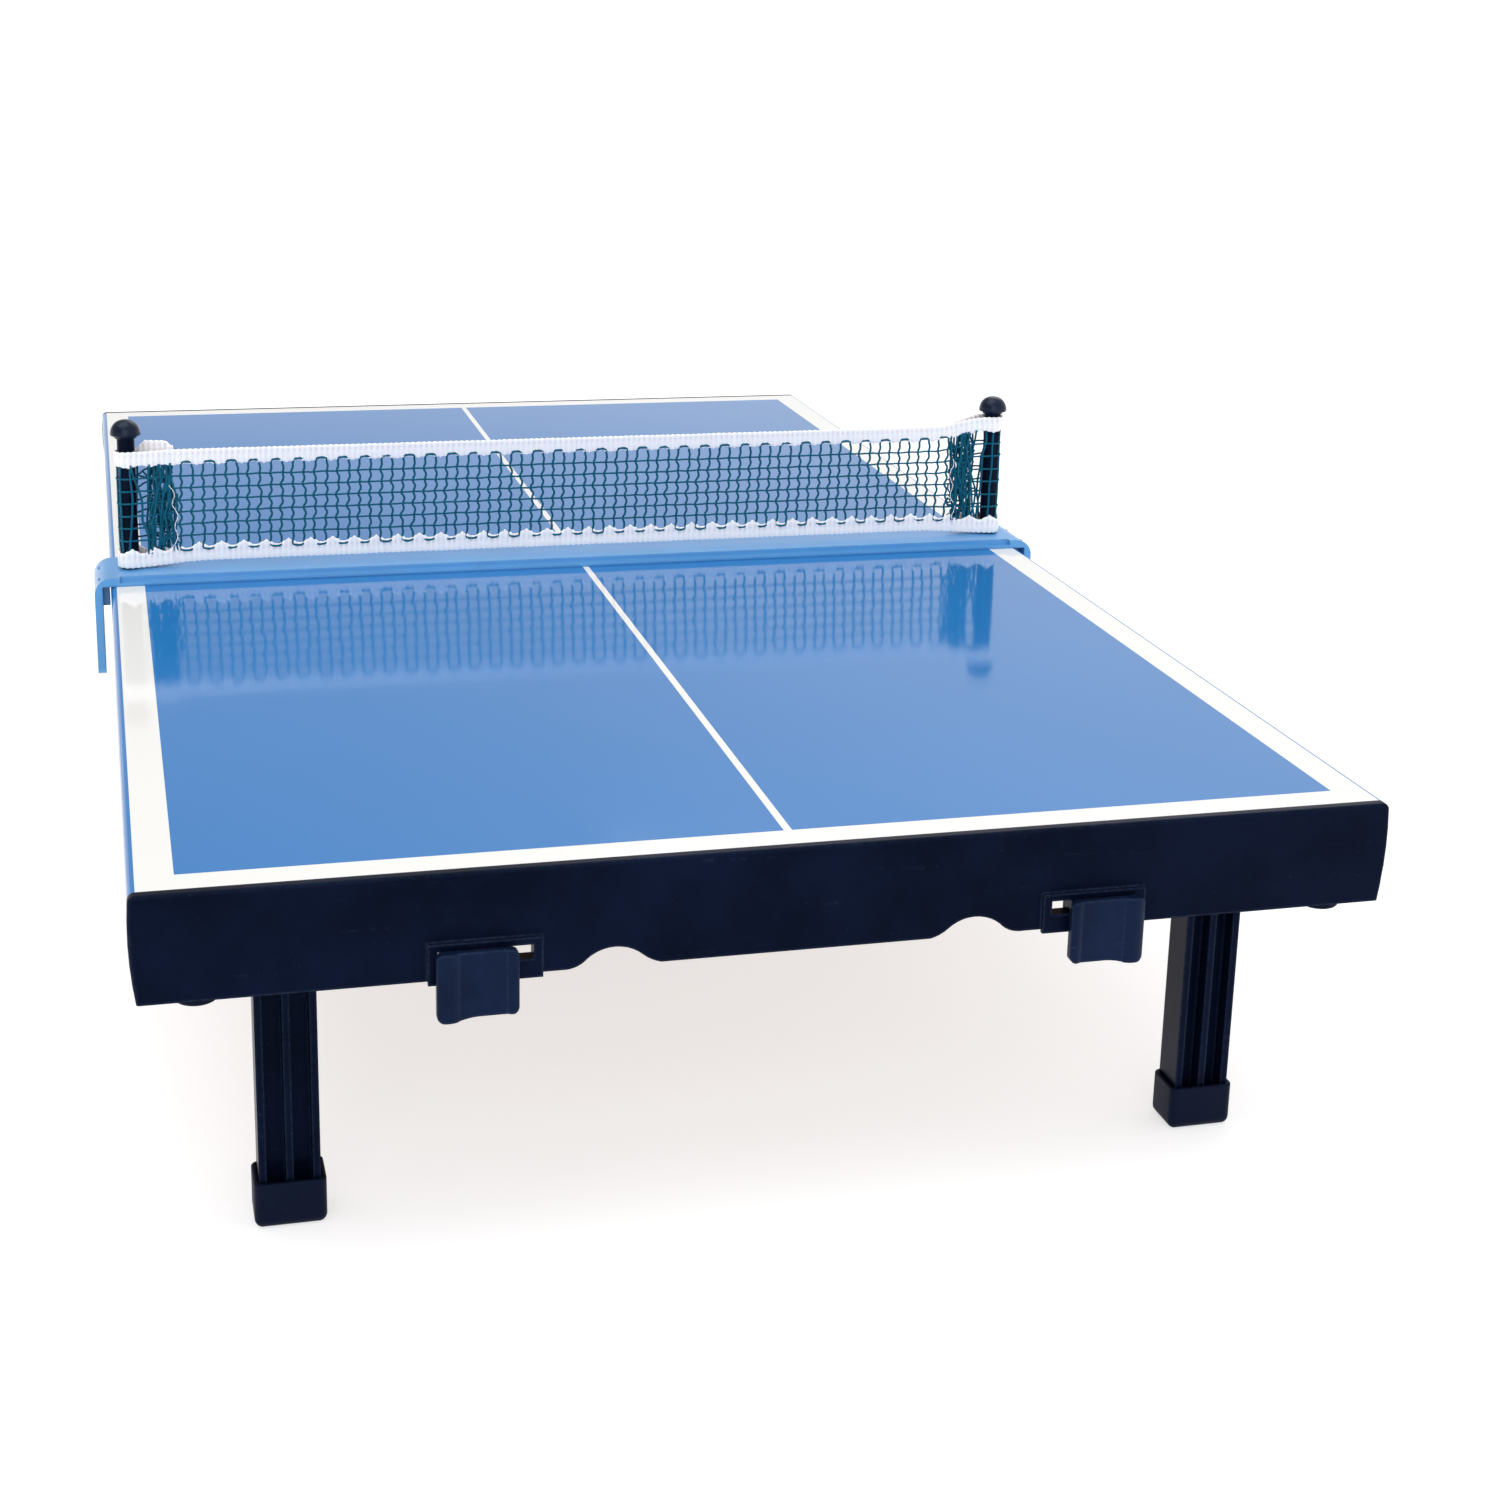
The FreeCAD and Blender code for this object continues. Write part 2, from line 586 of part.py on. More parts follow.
def leg_bracket(x):
    """Two cheeks and an outer stop wall hanging from a plate that screws to the board."""
    cheek_in = LEG_WIDTH / 2 + BRACKET_CHEEK_GAP
    cheek_out = cheek_in + BRACKET_CHEEK
    low = PIVOT_Z - BRACKET_DROP
    plate = block(x - cheek_out - BRACKET_EAR, x + cheek_out + BRACKET_EAR,
                  LEG_Y - BRACKET_DEPTH, LEG_Y + BRACKET_DEPTH, BOARD_UNDER - BRACKET_PLATE, BOARD_UNDER)
    stop_y = LEG_Y - LEG_DEPTH / 2 - BRACKET_CHEEK_GAP
    pieces = [block(x - cheek_out, x + cheek_out, stop_y - BRACKET_STOP, stop_y, low, BOARD_UNDER)]
    for start in (x - cheek_out, x + cheek_in):
        pieces.append(block(start, start + BRACKET_CHEEK, stop_y - BRACKET_STOP, LEG_Y + BRACKET_DROP,
                            low, BOARD_UNDER))
    body = joined(plate, pieces)
    reach = cheek_out + OVERCUT
    holes = [rod(LEG_PIN_R, vec(x - reach, LEG_Y, PIVOT_Z), vec(x + reach, LEG_Y, PIVOT_Z))]
    for hole_x, hole_y in bracket_screw_places():
        top = vec(hole_x, hole_y, BOARD_UNDER)
        holes.append(rod(SCREW_R + SCREW_CLEARANCE, top - vec(0, 0, BRACKET_PLATE + OVERCUT), top))
    return body.cut(holes)


def leg_pin(x):
    reach = LEG_WIDTH / 2 + BRACKET_CHEEK_GAP + BRACKET_CHEEK
    return headed_pin(vec(x, LEG_Y, PIVOT_Z), reach, LEG_PIN_R, LEG_PIN_HEAD_R, LEG_PIN_HEAD)


# Pads --------------------------------------------------------------------------------------

def bumper_pad(x):
    """Round rubber pad pushed into its boss by a stem."""
    low = RAIL_BOTTOM - PAD_PROUD
    pad = rod(PAD_R, vec(x, PAD_Y, low), vec(x, PAD_Y, RAIL_BOTTOM))
    pad = rounded(pad, PAD_ROUND, lambda c: near_to(c.z, low) and near_to(c.x, x))
    stem = rod(PAD_STEM_R, vec(x, PAD_Y, RAIL_BOTTOM), vec(x, PAD_Y, RAIL_BOTTOM + PAD_STEM))
    return joined(pad, [stem])


# Clips, drawn for the right side and mirrored to the left -----------------------------------

def clip_plan():
    """Wavy plate seen from above: a broad ridge at the outer side and a narrow one at the inner."""
    half = CLIP_WIDTH / 2
    back = -HALF_LENGTH - CLIP_BACK
    face = back - CLIP_THICK
    ridge = face - CLIP_RIDGE
    at = [(half, face), (half - CLIP_BROAD_RIDGE / 2, ridge), (half - CLIP_BROAD_RIDGE, face),
          (-half + CLIP_NARROW_RIDGE, face),
          (-half + CLIP_NARROW_RIDGE / 2, face - CLIP_NARROW_HEIGHT), (-half, face)]
    at = [vec(CLIP_X + x, y, CLIP_LOW) for x, y in at]
    edges = [Part.Arc(at[0], at[1], at[2]).toShape(),
             Part.LineSegment(at[2], at[3]).toShape(),
             Part.Arc(at[3], at[4], at[5]).toShape()]
    left_back = vec(CLIP_X - half, back, CLIP_LOW)
    right_back = vec(CLIP_X + half, back, CLIP_LOW)
    edges.append(Part.LineSegment(at[5], left_back).toShape())
    edges.append(Part.LineSegment(left_back, right_back).toShape())
    edges.append(Part.LineSegment(right_back, at[0]).toShape())
    return Part.Face(Part.Wire(edges)).extrude(vec(0, 0, CLIP_HEIGHT))


def clip_outline():
    """Front outline: rounded corners and a lower edge that dips under the broad ridge."""
    r = CLIP_CORNER_R
    bend = r * ARC_MID
    y = -HALF_LENGTH - CLIP_REACH - OVERCUT
    left, right = CLIP_X - CLIP_WIDTH / 2, CLIP_X + CLIP_WIDTH / 2
    low, high = CLIP_LOW, CLIP_LOW + CLIP_DIP
    dip_end = right - CLIP_DIP_FROM_SIDE
    arcs = [((left, high + r), (left + bend, high + bend), (left + r, high)),
            ((CLIP_X, high), ((CLIP_X + dip_end) / 2, (low + high) / 2 + CLIP_DIP_BULGE), (dip_end, low)),
            ((right - r, low), (right - bend, low + bend), (right, low + r)),
            ((right, CLIP_TOP - r), (right - bend, CLIP_TOP - bend), (right - r, CLIP_TOP)),
            ((left + r, CLIP_TOP), (left + bend, CLIP_TOP - bend), (left, CLIP_TOP - r))]
    edges = []
    last = arcs[-1][2]
    for arc in arcs:
        edges.append(Part.LineSegment(vec(last[0], y, last[1]), vec(arc[0][0], y, arc[0][1])).toShape())
        edges.append(Part.Arc(*[vec(x, y, z) for x, z in arc]).toShape())
        last = arc[2]
    return Part.Face(Part.Wire(edges)).extrude(vec(0, CLIP_REACH + 2 * OVERCUT, 0))


def clip():
    """Plate, tongue through the slot, and two teeth that hook under the far rail's catch teeth."""
    plate = clip_plan().common(clip_outline())
    back = -HALF_LENGTH - CLIP_BACK
    tongue = block(CLIP_X - TONGUE_WIDTH / 2, CLIP_X + TONGUE_WIDTH / 2, back, WALL_BACK_Y + TONGUE_CLEAR,
                   SLOT_LOW + TONGUE_CLEAR, SLOT_TOP - TONGUE_CLEAR)
    top = 2 * FOLD_Z - (RAIL_BOTTOM + CATCH_ABOVE_EDGE + TOOTH_THICK) - CLIP_CLEAR
    teeth = []
    for place in CLIP_TEETH:
        x = CLIP_X - place
        teeth.append(block(x - TOOTH_WIDTH / 2, x + TOOTH_WIDTH / 2, back, -HALF_LENGTH - CLIP_CLEAR,
                           top - TOOTH_THICK, top))
    body = joined(plate, [tongue] + teeth)
    middle = (SLOT_LOW + SLOT_TOP) / 2
    return body.cut(rod(SMALL_SCREW_R, vec(CLIP_X, back, middle), vec(CLIP_X, WALL_BACK_Y + OVERCUT, middle)))


def clip_keeper():
    """Plate behind the wall that keeps the clip in its slot."""
    middle = (SLOT_LOW + SLOT_TOP) / 2
    front = WALL_BACK_Y + TONGUE_CLEAR
    plate = block(CLIP_X - TONGUE_WIDTH / 2, CLIP_X + TONGUE_WIDTH / 2, front, front + KEEPER_THICK,
                  middle - KEEPER_HEIGHT / 2, middle + KEEPER_HEIGHT / 2)
    behind = vec(CLIP_X, front + KEEPER_THICK + OVERCUT, middle)
    return plate.cut(rod(SMALL_SCREW_R, vec(CLIP_X, front - OVERCUT, middle), behind))


def clip_screw():
    middle = (SLOT_LOW + SLOT_TOP) / 2
    seat = WALL_BACK_Y + TONGUE_CLEAR + KEEPER_THICK
    shank = rod(SMALL_SCREW_R, vec(CLIP_X, -HALF_LENGTH - CLIP_BACK, middle), vec(CLIP_X, seat, middle))
    head = rod(SMALL_HEAD_R, vec(CLIP_X, seat, middle), vec(CLIP_X, seat + SMALL_HEAD, middle))
    return joined(shank, [head])


# Net set -----------------------------------------------------------------------------------

def net_bar():
    """Saddle over the seam: a stepped top plate bent down into a flange at each side."""
    depth = BAR_HALF_DEPTH
    outer = block(-FLANGE_OUT, FLANGE_OUT, -depth, depth, TABLE_HEIGHT - FLANGE_DROP, BAR_TOP)
    outer = rounded(outer, BAR_BEND_R,
                    lambda c: near_to(abs(c.x), FLANGE_OUT) and near_to(c.z, BAR_TOP))
    outer = rounded(outer, BAR_CORNER_R,
                    lambda c: near_to(abs(c.y), depth) and near_to(c.z, TABLE_HEIGHT - FLANGE_DROP))
    room = block(-FLANGE_IN, FLANGE_IN, -depth - OVERCUT, depth + OVERCUT, 0, TABLE_HEIGHT)
    step_end = FLANGE_IN - BAR_BEND_R
    step = block(-step_end, step_end, -depth - OVERCUT, -depth + BAR_LIP,
                 TABLE_HEIGHT + BAR_LIP_THICK, BAR_TOP + OVERCUT)
    body = outer.cut([room, step, mirrored_y(step)])
    ribs = []
    for side in (-1, 1):
        inner = side * (HALF_WIDTH + FLANGE_RIB_CLEAR)
        outside = side * (FLANGE_IN + FLANGE_THICK / 2)
        for y in (-FLANGE_RIB_OFFSET, FLANGE_RIB_OFFSET):
            ribs.append(block(min(inner, outside), max(inner, outside),
                              y - FLANGE_RIB / 2, y + FLANGE_RIB / 2,
                              TABLE_HEIGHT - FLANGE_RIB_HEIGHT, TABLE_HEIGHT + BAR_THICK / 2))
    body = joined(body, ribs)
    holes = [rod(SPIGOT_R, vec(x, 0, 0), vec(x, 0, BAR_TOP + OVERCUT)) for x in (-POST_X, POST_X)]
    return body.cut(holes)


def net_post(x):
    shaft = rod(POST_R, vec(x, 0, BAR_TOP), vec(x, 0, BAR_TOP + POST_HEIGHT))
    spigot = rod(SPIGOT_R, vec(x, 0, BAR_TOP - SPIGOT_LENGTH), vec(x, 0, BAR_TOP))
    peg = rod(POST_PEG_R, vec(x, 0, BAR_TOP + POST_HEIGHT), vec(x, 0, BAR_TOP + POST_HEIGHT + POST_PEG))
    return joined(shaft, [spigot, peg])


def post_cap(x):
    """Mushroom cap: a domed button with a flat crown, a soft rim and a blind hole for the post's peg."""
    low = BAR_TOP + POST_HEIGHT
    top = low + CAP_DOME_HEIGHT
    button = rod(CAP_DOME_R, vec(x, 0, low), vec(x, 0, top))
    button = rounded(button, CAP_DOME_R - CAP_CROWN_R, lambda c: near_to(c.z, top) and near_to(c.x, x))
    button = rounded(button, CAP_RIM_ROUND, lambda c: near_to(c.z, low) and near_to(c.x, x))
    return button.cut(rod(POST_PEG_R, vec(x, 0, low), vec(x, 0, low + POST_PEG)))


def net_band(low, high):
    """Flat strip between the posts with a loop round each of them."""
    inner_r = POST_R + NET_POST_GAP
    outer_r = inner_r + NET_THICK
    strip = block(-POST_X, POST_X, -NET_THICK / 2, NET_THICK / 2, low, high)
    loops = [rod(outer_r, vec(x, 0, low), vec(x, 0, high)) for x in (-POST_X, POST_X)]
    bores = [rod(inner_r, vec(x, 0, low - OVERCUT), vec(x, 0, high + OVERCUT)) for x in (-POST_X, POST_X)]
    return joined(strip, loops).cut(bores)


# Everything --------------------------------------------------------------------------------

def make_halves():
    both_halves("board", [board()])
    save("near_end_rail", [near_end_rail()])
    save("far_end_rail", [far_end_rail()])
    both_halves("seam_rail", [seam_rail()])
    both_halves("rail_screws", rail_screws())
    both_halves("hinge_screws", hinge_screws())
    both_halves("bracket_screws", bracket_screws())
    both_halves("bumper_pads", [bumper_pad(-PAD_X), bumper_pad(PAD_X)])


def make_side(side, word):
    """Pieces that there is one of on the left and one of on the right."""
    both_halves(word + "_leg", [leg(side * LEG_X)])
    both_halves(word + "_foot_cap", [foot_cap(side * LEG_X)])
    both_halves(word + "_leg_bracket", [leg_bracket(side * LEG_X)])
    both_halves(word + "_leg_pin", [leg_pin(side * LEG_X)])
    save("near_" + word + "_hinge_leaf", [near_leaf(side * HINGE_X)])
    save("far_" + word + "_hinge_leaf", [far_leaf(side * HINGE_X)])
    save(word + "_hinge_pin", [hinge_pin(side * HINGE_X)])
    for name, shape in (("clip", clip()), ("clip_keeper", clip_keeper()), ("clip_screw", clip_screw())):
        save(word + "_" + name, [shape if side > 0 else mirrored_x(shape)])
    save(word + "_net_post", [net_post(side * POST_X)])
    save(word + "_post_cap", [post_cap(side * POST_X)])


def make_net():
    save("net_bar", [net_bar()])
    mesh_low = NET_LOW + BOTTOM_TAPE
    mesh_high = NET_LOW + NET_HEIGHT - TOP_TAPE
    save("net_bottom_tape", [net_band(NET_LOW, mesh_low)])
    save("net_mesh", [net_band(mesh_low, mesh_high)])
    save("net_top_tape", [net_band(mesh_high, NET_LOW + NET_HEIGHT)])


os.makedirs("parts", exist_ok=True)
make_halves()
make_side(-1, "left")
make_side(1, "right")
make_net()
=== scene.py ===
import math

import bpy
import numpy as np
from mathutils import Matrix, Vector


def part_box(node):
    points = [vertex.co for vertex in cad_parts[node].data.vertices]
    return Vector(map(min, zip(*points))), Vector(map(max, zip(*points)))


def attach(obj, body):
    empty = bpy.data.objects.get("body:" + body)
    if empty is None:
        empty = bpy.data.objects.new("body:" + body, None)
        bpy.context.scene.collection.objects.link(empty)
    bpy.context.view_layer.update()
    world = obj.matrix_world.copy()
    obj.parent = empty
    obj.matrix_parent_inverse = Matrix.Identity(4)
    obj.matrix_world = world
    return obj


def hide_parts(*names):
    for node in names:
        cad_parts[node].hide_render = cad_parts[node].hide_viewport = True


bl_info = {
    "name": "Folding mini table tennis table",
    "version": (1, 0, 0),
    "blender": (4, 5, 0),
    "location": "3D View > Sidebar > Table",
    "description": "Finishes, net, caps, feet and stage of a folding mini table tennis table",
    "category": "Object",
}

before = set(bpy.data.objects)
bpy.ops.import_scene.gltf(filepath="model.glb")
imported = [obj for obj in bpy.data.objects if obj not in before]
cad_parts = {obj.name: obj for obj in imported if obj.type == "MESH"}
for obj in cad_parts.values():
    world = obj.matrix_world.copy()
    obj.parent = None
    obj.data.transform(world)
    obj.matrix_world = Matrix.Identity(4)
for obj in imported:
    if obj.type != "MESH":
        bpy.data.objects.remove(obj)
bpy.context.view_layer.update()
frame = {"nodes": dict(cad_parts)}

HALVES = ("near", "far")
SIDES = ("left", "right")
TAU = 2 * math.pi

# Name, metres from the middle of the playing surface, watts, and width in metres.
LIGHTS = (
    ("key", (-0.5, -0.2, 2.2), 30.0, 2.2),
    ("back", (0.9, 1.6, 1.6), 7.0, 1.4),
    ("front", (-0.3, -2.0, 0.8), 12.0, 1.6),
)


# Measuring the frame ---------------------------------------------------------------------------

def corners(name):
    """Lowest and highest corner of a CAD node, as arrays."""
    low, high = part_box(name)
    return np.array(low), np.array(high)


def colour(red, green, blue):
    """Linear colour of three display values from 0 to 255."""
    display = np.array([red, green, blue]) / 255
    linear = np.where(display <= 0.04045, display / 12.92, ((display + 0.055) / 1.055) ** 2.4)
    return tuple(float(value) for value in linear)


# Sizes and colours that a user would change ------------------------------------------------------

class TTABLE_PG_lines(bpy.types.PropertyGroup):
    """White lines painted on the top."""
    inset: bpy.props.FloatProperty(
        name="Border inset", description="Blue left outside the border line",
        default=0.002, unit="LENGTH", subtype="DISTANCE")
    border: bpy.props.FloatProperty(
        name="Border width", description="Width of the line round the edge",
        default=0.0095, unit="LENGTH", subtype="DISTANCE")
    centre: bpy.props.FloatProperty(
        name="Centre width", description="Width of the line along the middle",
        default=0.0022, unit="LENGTH", subtype="DISTANCE")


class TTABLE_PG_net(bpy.types.PropertyGroup):
    """Sizes of the knitted net."""
    cell: bpy.props.FloatProperty(
        name="Cell width", description="Distance between two upright threads",
        default=0.0039, unit="LENGTH", subtype="DISTANCE")
    cross_threads: bpy.props.IntProperty(
        name="Cross threads", description="Level threads between the two tapes", default=6, min=1)
    thread: bpy.props.FloatProperty(
        name="Thread", description="Thickness of a thread",
        default=0.00084, unit="LENGTH", subtype="DISTANCE")
    sleeve: bpy.props.FloatProperty(
        name="Sleeve", description="From a post's centre to the seam that closes its sleeve",
        default=0.0160, unit="LENGTH", subtype="DISTANCE")
    rib: bpy.props.FloatProperty(
        name="Tape rib", description="Distance between two ribs of the tapes",
        default=0.00195, unit="LENGTH", subtype="DISTANCE")
    tape: bpy.props.FloatProperty(
        name="Tape thickness", description="Thickness of the tapes at a rib",
        default=0.0012, unit="LENGTH", subtype="DISTANCE")


class TTABLE_PG_colours(bpy.types.PropertyGroup):
    """Colours of the finishes."""
    top: bpy.props.FloatVectorProperty(
        name="Top", description="Lacquer of the playing surface", subtype="COLOR",
        default=colour(40, 116, 183))
    line: bpy.props.FloatVectorProperty(
        name="Lines", description="Painted lines", subtype="COLOR", default=colour(233, 232, 229))
    frame: bpy.props.FloatVectorProperty(
        name="Rails and legs", description="Moulded plastic of the frame", subtype="COLOR",
        default=colour(6, 12, 30))
    clip: bpy.props.FloatVectorProperty(
        name="Clips", description="Moulded plastic of the clips", subtype="COLOR",
        default=colour(12, 23, 46))
    bar: bpy.props.FloatVectorProperty(
        name="Net bar", description="Plastic of the bar that carries the net", subtype="COLOR",
        default=colour(80, 150, 210))
    post: bpy.props.FloatVectorProperty(
        name="Posts", description="Plastic of the posts and their caps", subtype="COLOR",
        default=colour(11, 18, 34))
    thread: bpy.props.FloatVectorProperty(
        name="Net thread", description="Thread of the net", subtype="COLOR",
        default=colour(0, 92, 118))
    tape: bpy.props.FloatVectorProperty(
        name="Net tape", description="Knitted tapes", subtype="COLOR", default=colour(254, 253, 255))
    board: bpy.props.FloatVectorProperty(
        name="Bare board", description="Fibre board under the top", subtype="COLOR",
        default=colour(150, 116, 84))
    steel: bpy.props.FloatVectorProperty(
        name="Steel", description="Plated hinges, pins and screws", subtype="COLOR",
        default=colour(196, 198, 202))


class TTABLE_PG_stage(bpy.types.PropertyGroup):
    """Camera and light."""
    heading: bpy.props.FloatProperty(
        name="Heading", description="Turn of the camera to the right of the table's length",
        default=math.radians(15.21), unit="ROTATION", subtype="ANGLE")
    dip: bpy.props.FloatProperty(
        name="Dip", description="How far the camera looks down",
        default=math.radians(15.51), unit="ROTATION", subtype="ANGLE")
    roll: bpy.props.FloatProperty(
        name="Roll", description="Tilt of the camera about its own line of sight",
        default=math.radians(1.43), unit="ROTATION", subtype="ANGLE")
    place: bpy.props.FloatVectorProperty(
        name="Camera place", description="Camera from the middle of the playing surface",
        default=(-0.168, -0.8619, 0.228), unit="LENGTH", subtype="TRANSLATION")
    lens: bpy.props.FloatProperty(
        name="Focal length", description="Focal length in millimetres", default=58.73)
    floor: bpy.props.FloatVectorProperty(
        name="Floor", description="Colour of the floor", subtype="COLOR", default=colour(252, 252, 253))
    glow: bpy.props.FloatProperty(
        name="Floor glow", description="Light that the floor gives off near the table", default=0.64)


GROUPS = {
    "ttable_lines": TTABLE_PG_lines,
    "ttable_net": TTABLE_PG_net,
    "ttable_colours": TTABLE_PG_colours,
    "ttable_stage": TTABLE_PG_stage,
}


# Putting arrays into meshes ----------------------------------------------------------------------

def new_piece(name, points, faces, body, material):
    """Object at the origin from an array of points and lists of faces, riding on a body."""
    mesh = bpy.data.meshes.new(name)
    mesh.from_pydata(points.tolist(), [], faces)
    mesh.validate()
    mesh.shade_smooth()
    mesh.materials.append(material)
    piece = bpy.data.objects.new(name, mesh)
    bpy.context.scene.collection.objects.link(piece)
    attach(piece, body)
    return piece


def grid_quads(rows, columns, closed_rows=False):
    """Quads of a grid whose columns close on themselves, row by row.

    The last row is joined to the first if asked.
    """
    row = np.arange(rows if closed_rows else rows - 1)[:, None]
    column = np.arange(columns)[None, :]
    after = (row + 1) % rows
    beside = (column + 1) % columns
    quads = np.stack([row * columns + column, after * columns + column,
                      after * columns + beside, row * columns + beside], axis=-1)
    return quads.reshape(-1, 4)


def pole_faces(rows, columns, first_pole, last_pole):
    """Triangles from the first and the last row of such a grid to a point in the middle of each."""
    column = np.arange(columns)
    beside = (column + 1) % columns
    last = (rows - 1) * columns
    start = np.stack([np.full(columns, first_pole), column, beside], axis=-1)
    end = np.stack([np.full(columns, last_pole), last + beside, last + column], axis=-1)
    return np.concatenate([start, end])


def closed_grid(grid):
    """Points and faces of a tube-like grid (rows, columns, 3), each end closed onto its middle."""
    rows, columns = grid.shape[:2]
    poles = grid[[0, -1]].mean(axis=1)
    points = np.concatenate([grid.reshape(-1, 3), poles])
    count = rows * columns
    faces = grid_quads(rows, columns).tolist() + pole_faces(rows, columns, count, count + 1).tolist()
    return points, faces


def thread_tubes(paths, radius, across, sides=5, closed=False):
    """Round threads along many paths (threads, points, 3) at once.

    Each point of a tube is its path's point plus the radius times a turn between two directions
    square to the path: one is the path's direction crossed with across, the other completes them.
    """
    if closed:
        ahead = np.roll(paths, -1, axis=1) - np.roll(paths, 1, axis=1)
    else:
        ahead = np.gradient(paths, axis=1)
    ahead /= np.linalg.norm(ahead, axis=-1, keepdims=True)
    side = np.cross(ahead, across)
    side /= np.linalg.norm(side, axis=-1, keepdims=True)
    up = np.cross(side, ahead)
    turn = TAU * np.arange(sides) / sides
    ring = np.cos(turn)[:, None] * side[:, :, None, :] + np.sin(turn)[:, None] * up[:, :, None, :]
    grid = paths[:, :, None, :] + radius * ring
    threads, count = paths.shape[:2]
    if closed:
        quads = grid_quads(count, sides, closed_rows=True)
        step = count * sides
        faces = quads[None] + step * np.arange(threads)[:, None, None]
        return grid.reshape(-1, 3), faces.reshape(-1, 4).tolist()
    step = count * sides + 2
    poles = paths[:, [0, -1], :]
    points = np.concatenate([grid.reshape(threads, -1, 3), poles], axis=1).reshape(-1, 3)
    shift = step * np.arange(threads)[:, None, None]
    quads = (grid_quads(count, sides)[None] + shift).reshape(-1, 4)
    ends = (pole_faces(count, sides, step - 2, step - 1)[None] + shift).reshape(-1, 3)
    return points, quads.tolist() + ends.tolist()


def gathered(parts):
    """One set of points and faces from several."""
    points, faces, count = [], [], 0
    for part_points, part_faces in parts:
        points.append(part_points)
        faces += [[corner + count for corner in face] for face in part_faces]
        count += len(part_points)
    return np.concatenate(points), faces


def eased(value, low, high):
    """0 below low, 1 above high, and 3t^2 - 2t^3 between them."""
    share = np.clip((value - low) / (high - low), 0, 1)
    return share * share * (3 - 2 * share)


# Wiring materials --------------------------------------------------------------------------------

def node(tree, kind, settings=None, inputs=None):
    """Adds a node; an input may be a number, a colour or another node's socket."""
    made = tree.nodes.new(kind)
    for name, value in (settings or {}).items():
        setattr(made, name, value)
    for name, value in (inputs or {}).items():
        if isinstance(value, bpy.types.NodeSocket):
            tree.links.new(value, made.inputs[name])
        else:
            made.inputs[name].default_value = value
    return made


def maths(tree, operation, first, second=0.0, third=0.0):
    """Result of a Math node."""
    made = node(tree, "ShaderNodeMath", {"operation": operation}, {0: first, 1: second, 2: third})
    return made.outputs[0]


def step_up(tree, value, low, high):
    """Smooth step from 0 at low to 1 at high."""
    made = node(tree, "ShaderNodeMapRange", {"interpolation_type": "SMOOTHSTEP"},
                {"Value": value, "From Min": low, "From Max": high})
    return made.outputs["Result"]


def between(tree, value, low, high, soft):
    """1 between low and high, with soft sides."""
    rise = step_up(tree, value, low - soft, low + soft)
    fall = step_up(tree, value, high + soft, high - soft)
    return maths(tree, "MULTIPLY", rise, fall)


def rgba(values):
    """Opaque colour of three values."""
    return (*values, 1.0)


def mixed(tree, share, first, second):
    """Colour between two others."""
    made = node(tree, "ShaderNodeMix", {"data_type": "RGBA"})
    for index, value in ((0, share), (6, first), (7, second)):
        if isinstance(value, bpy.types.NodeSocket):
            tree.links.new(value, made.inputs[index])
        else:
            made.inputs[index].default_value = value
    return made.outputs[2]


def place(tree, stretch=(1, 1, 1)):
    """Object coordinates, stretched along the axes."""
    coordinates = node(tree, "ShaderNodeTexCoord").outputs["Object"]
    return node(tree, "ShaderNodeMapping", None, {"Vector": coordinates, "Scale": stretch}).outputs[0]


def noise(tree, where, scale, detail=2.0, rough=0.5):
    """Value of a noise texture, about 0.5 on average."""
    made = node(tree, "ShaderNodeTexNoise", None,
                {"Vector": where, "Scale": scale, "Detail": detail, "Roughness": rough})
    return made.outputs["Fac"]


def bump(tree, height, strength, distance, under=None):
    """Normal bent by a height, on top of another normal if one is given."""
    inputs = {"Height": height, "Strength": strength, "Distance": distance}
    if under is not None:
        inputs["Normal"] = under
    return node(tree, "ShaderNodeBump", None, inputs).outputs["Normal"]


def new_finish(name, constants):
    """Material with one Principled shader, its constants set on the shader's own sockets."""
    material = bpy.data.materials.new(name)
    material.use_nodes = True
    tree = material.node_tree
    shader = tree.nodes["Principled BSDF"]
    for socket, value in constants.items():
        shader.inputs[socket].default_value = value
    return material, tree, shader


def wears(names, material):
    """CAD nodes take a material in their own slot."""
    for name in names:
        mesh = frame["nodes"][name].data
        mesh.materials.clear()
        mesh.materials.append(material)


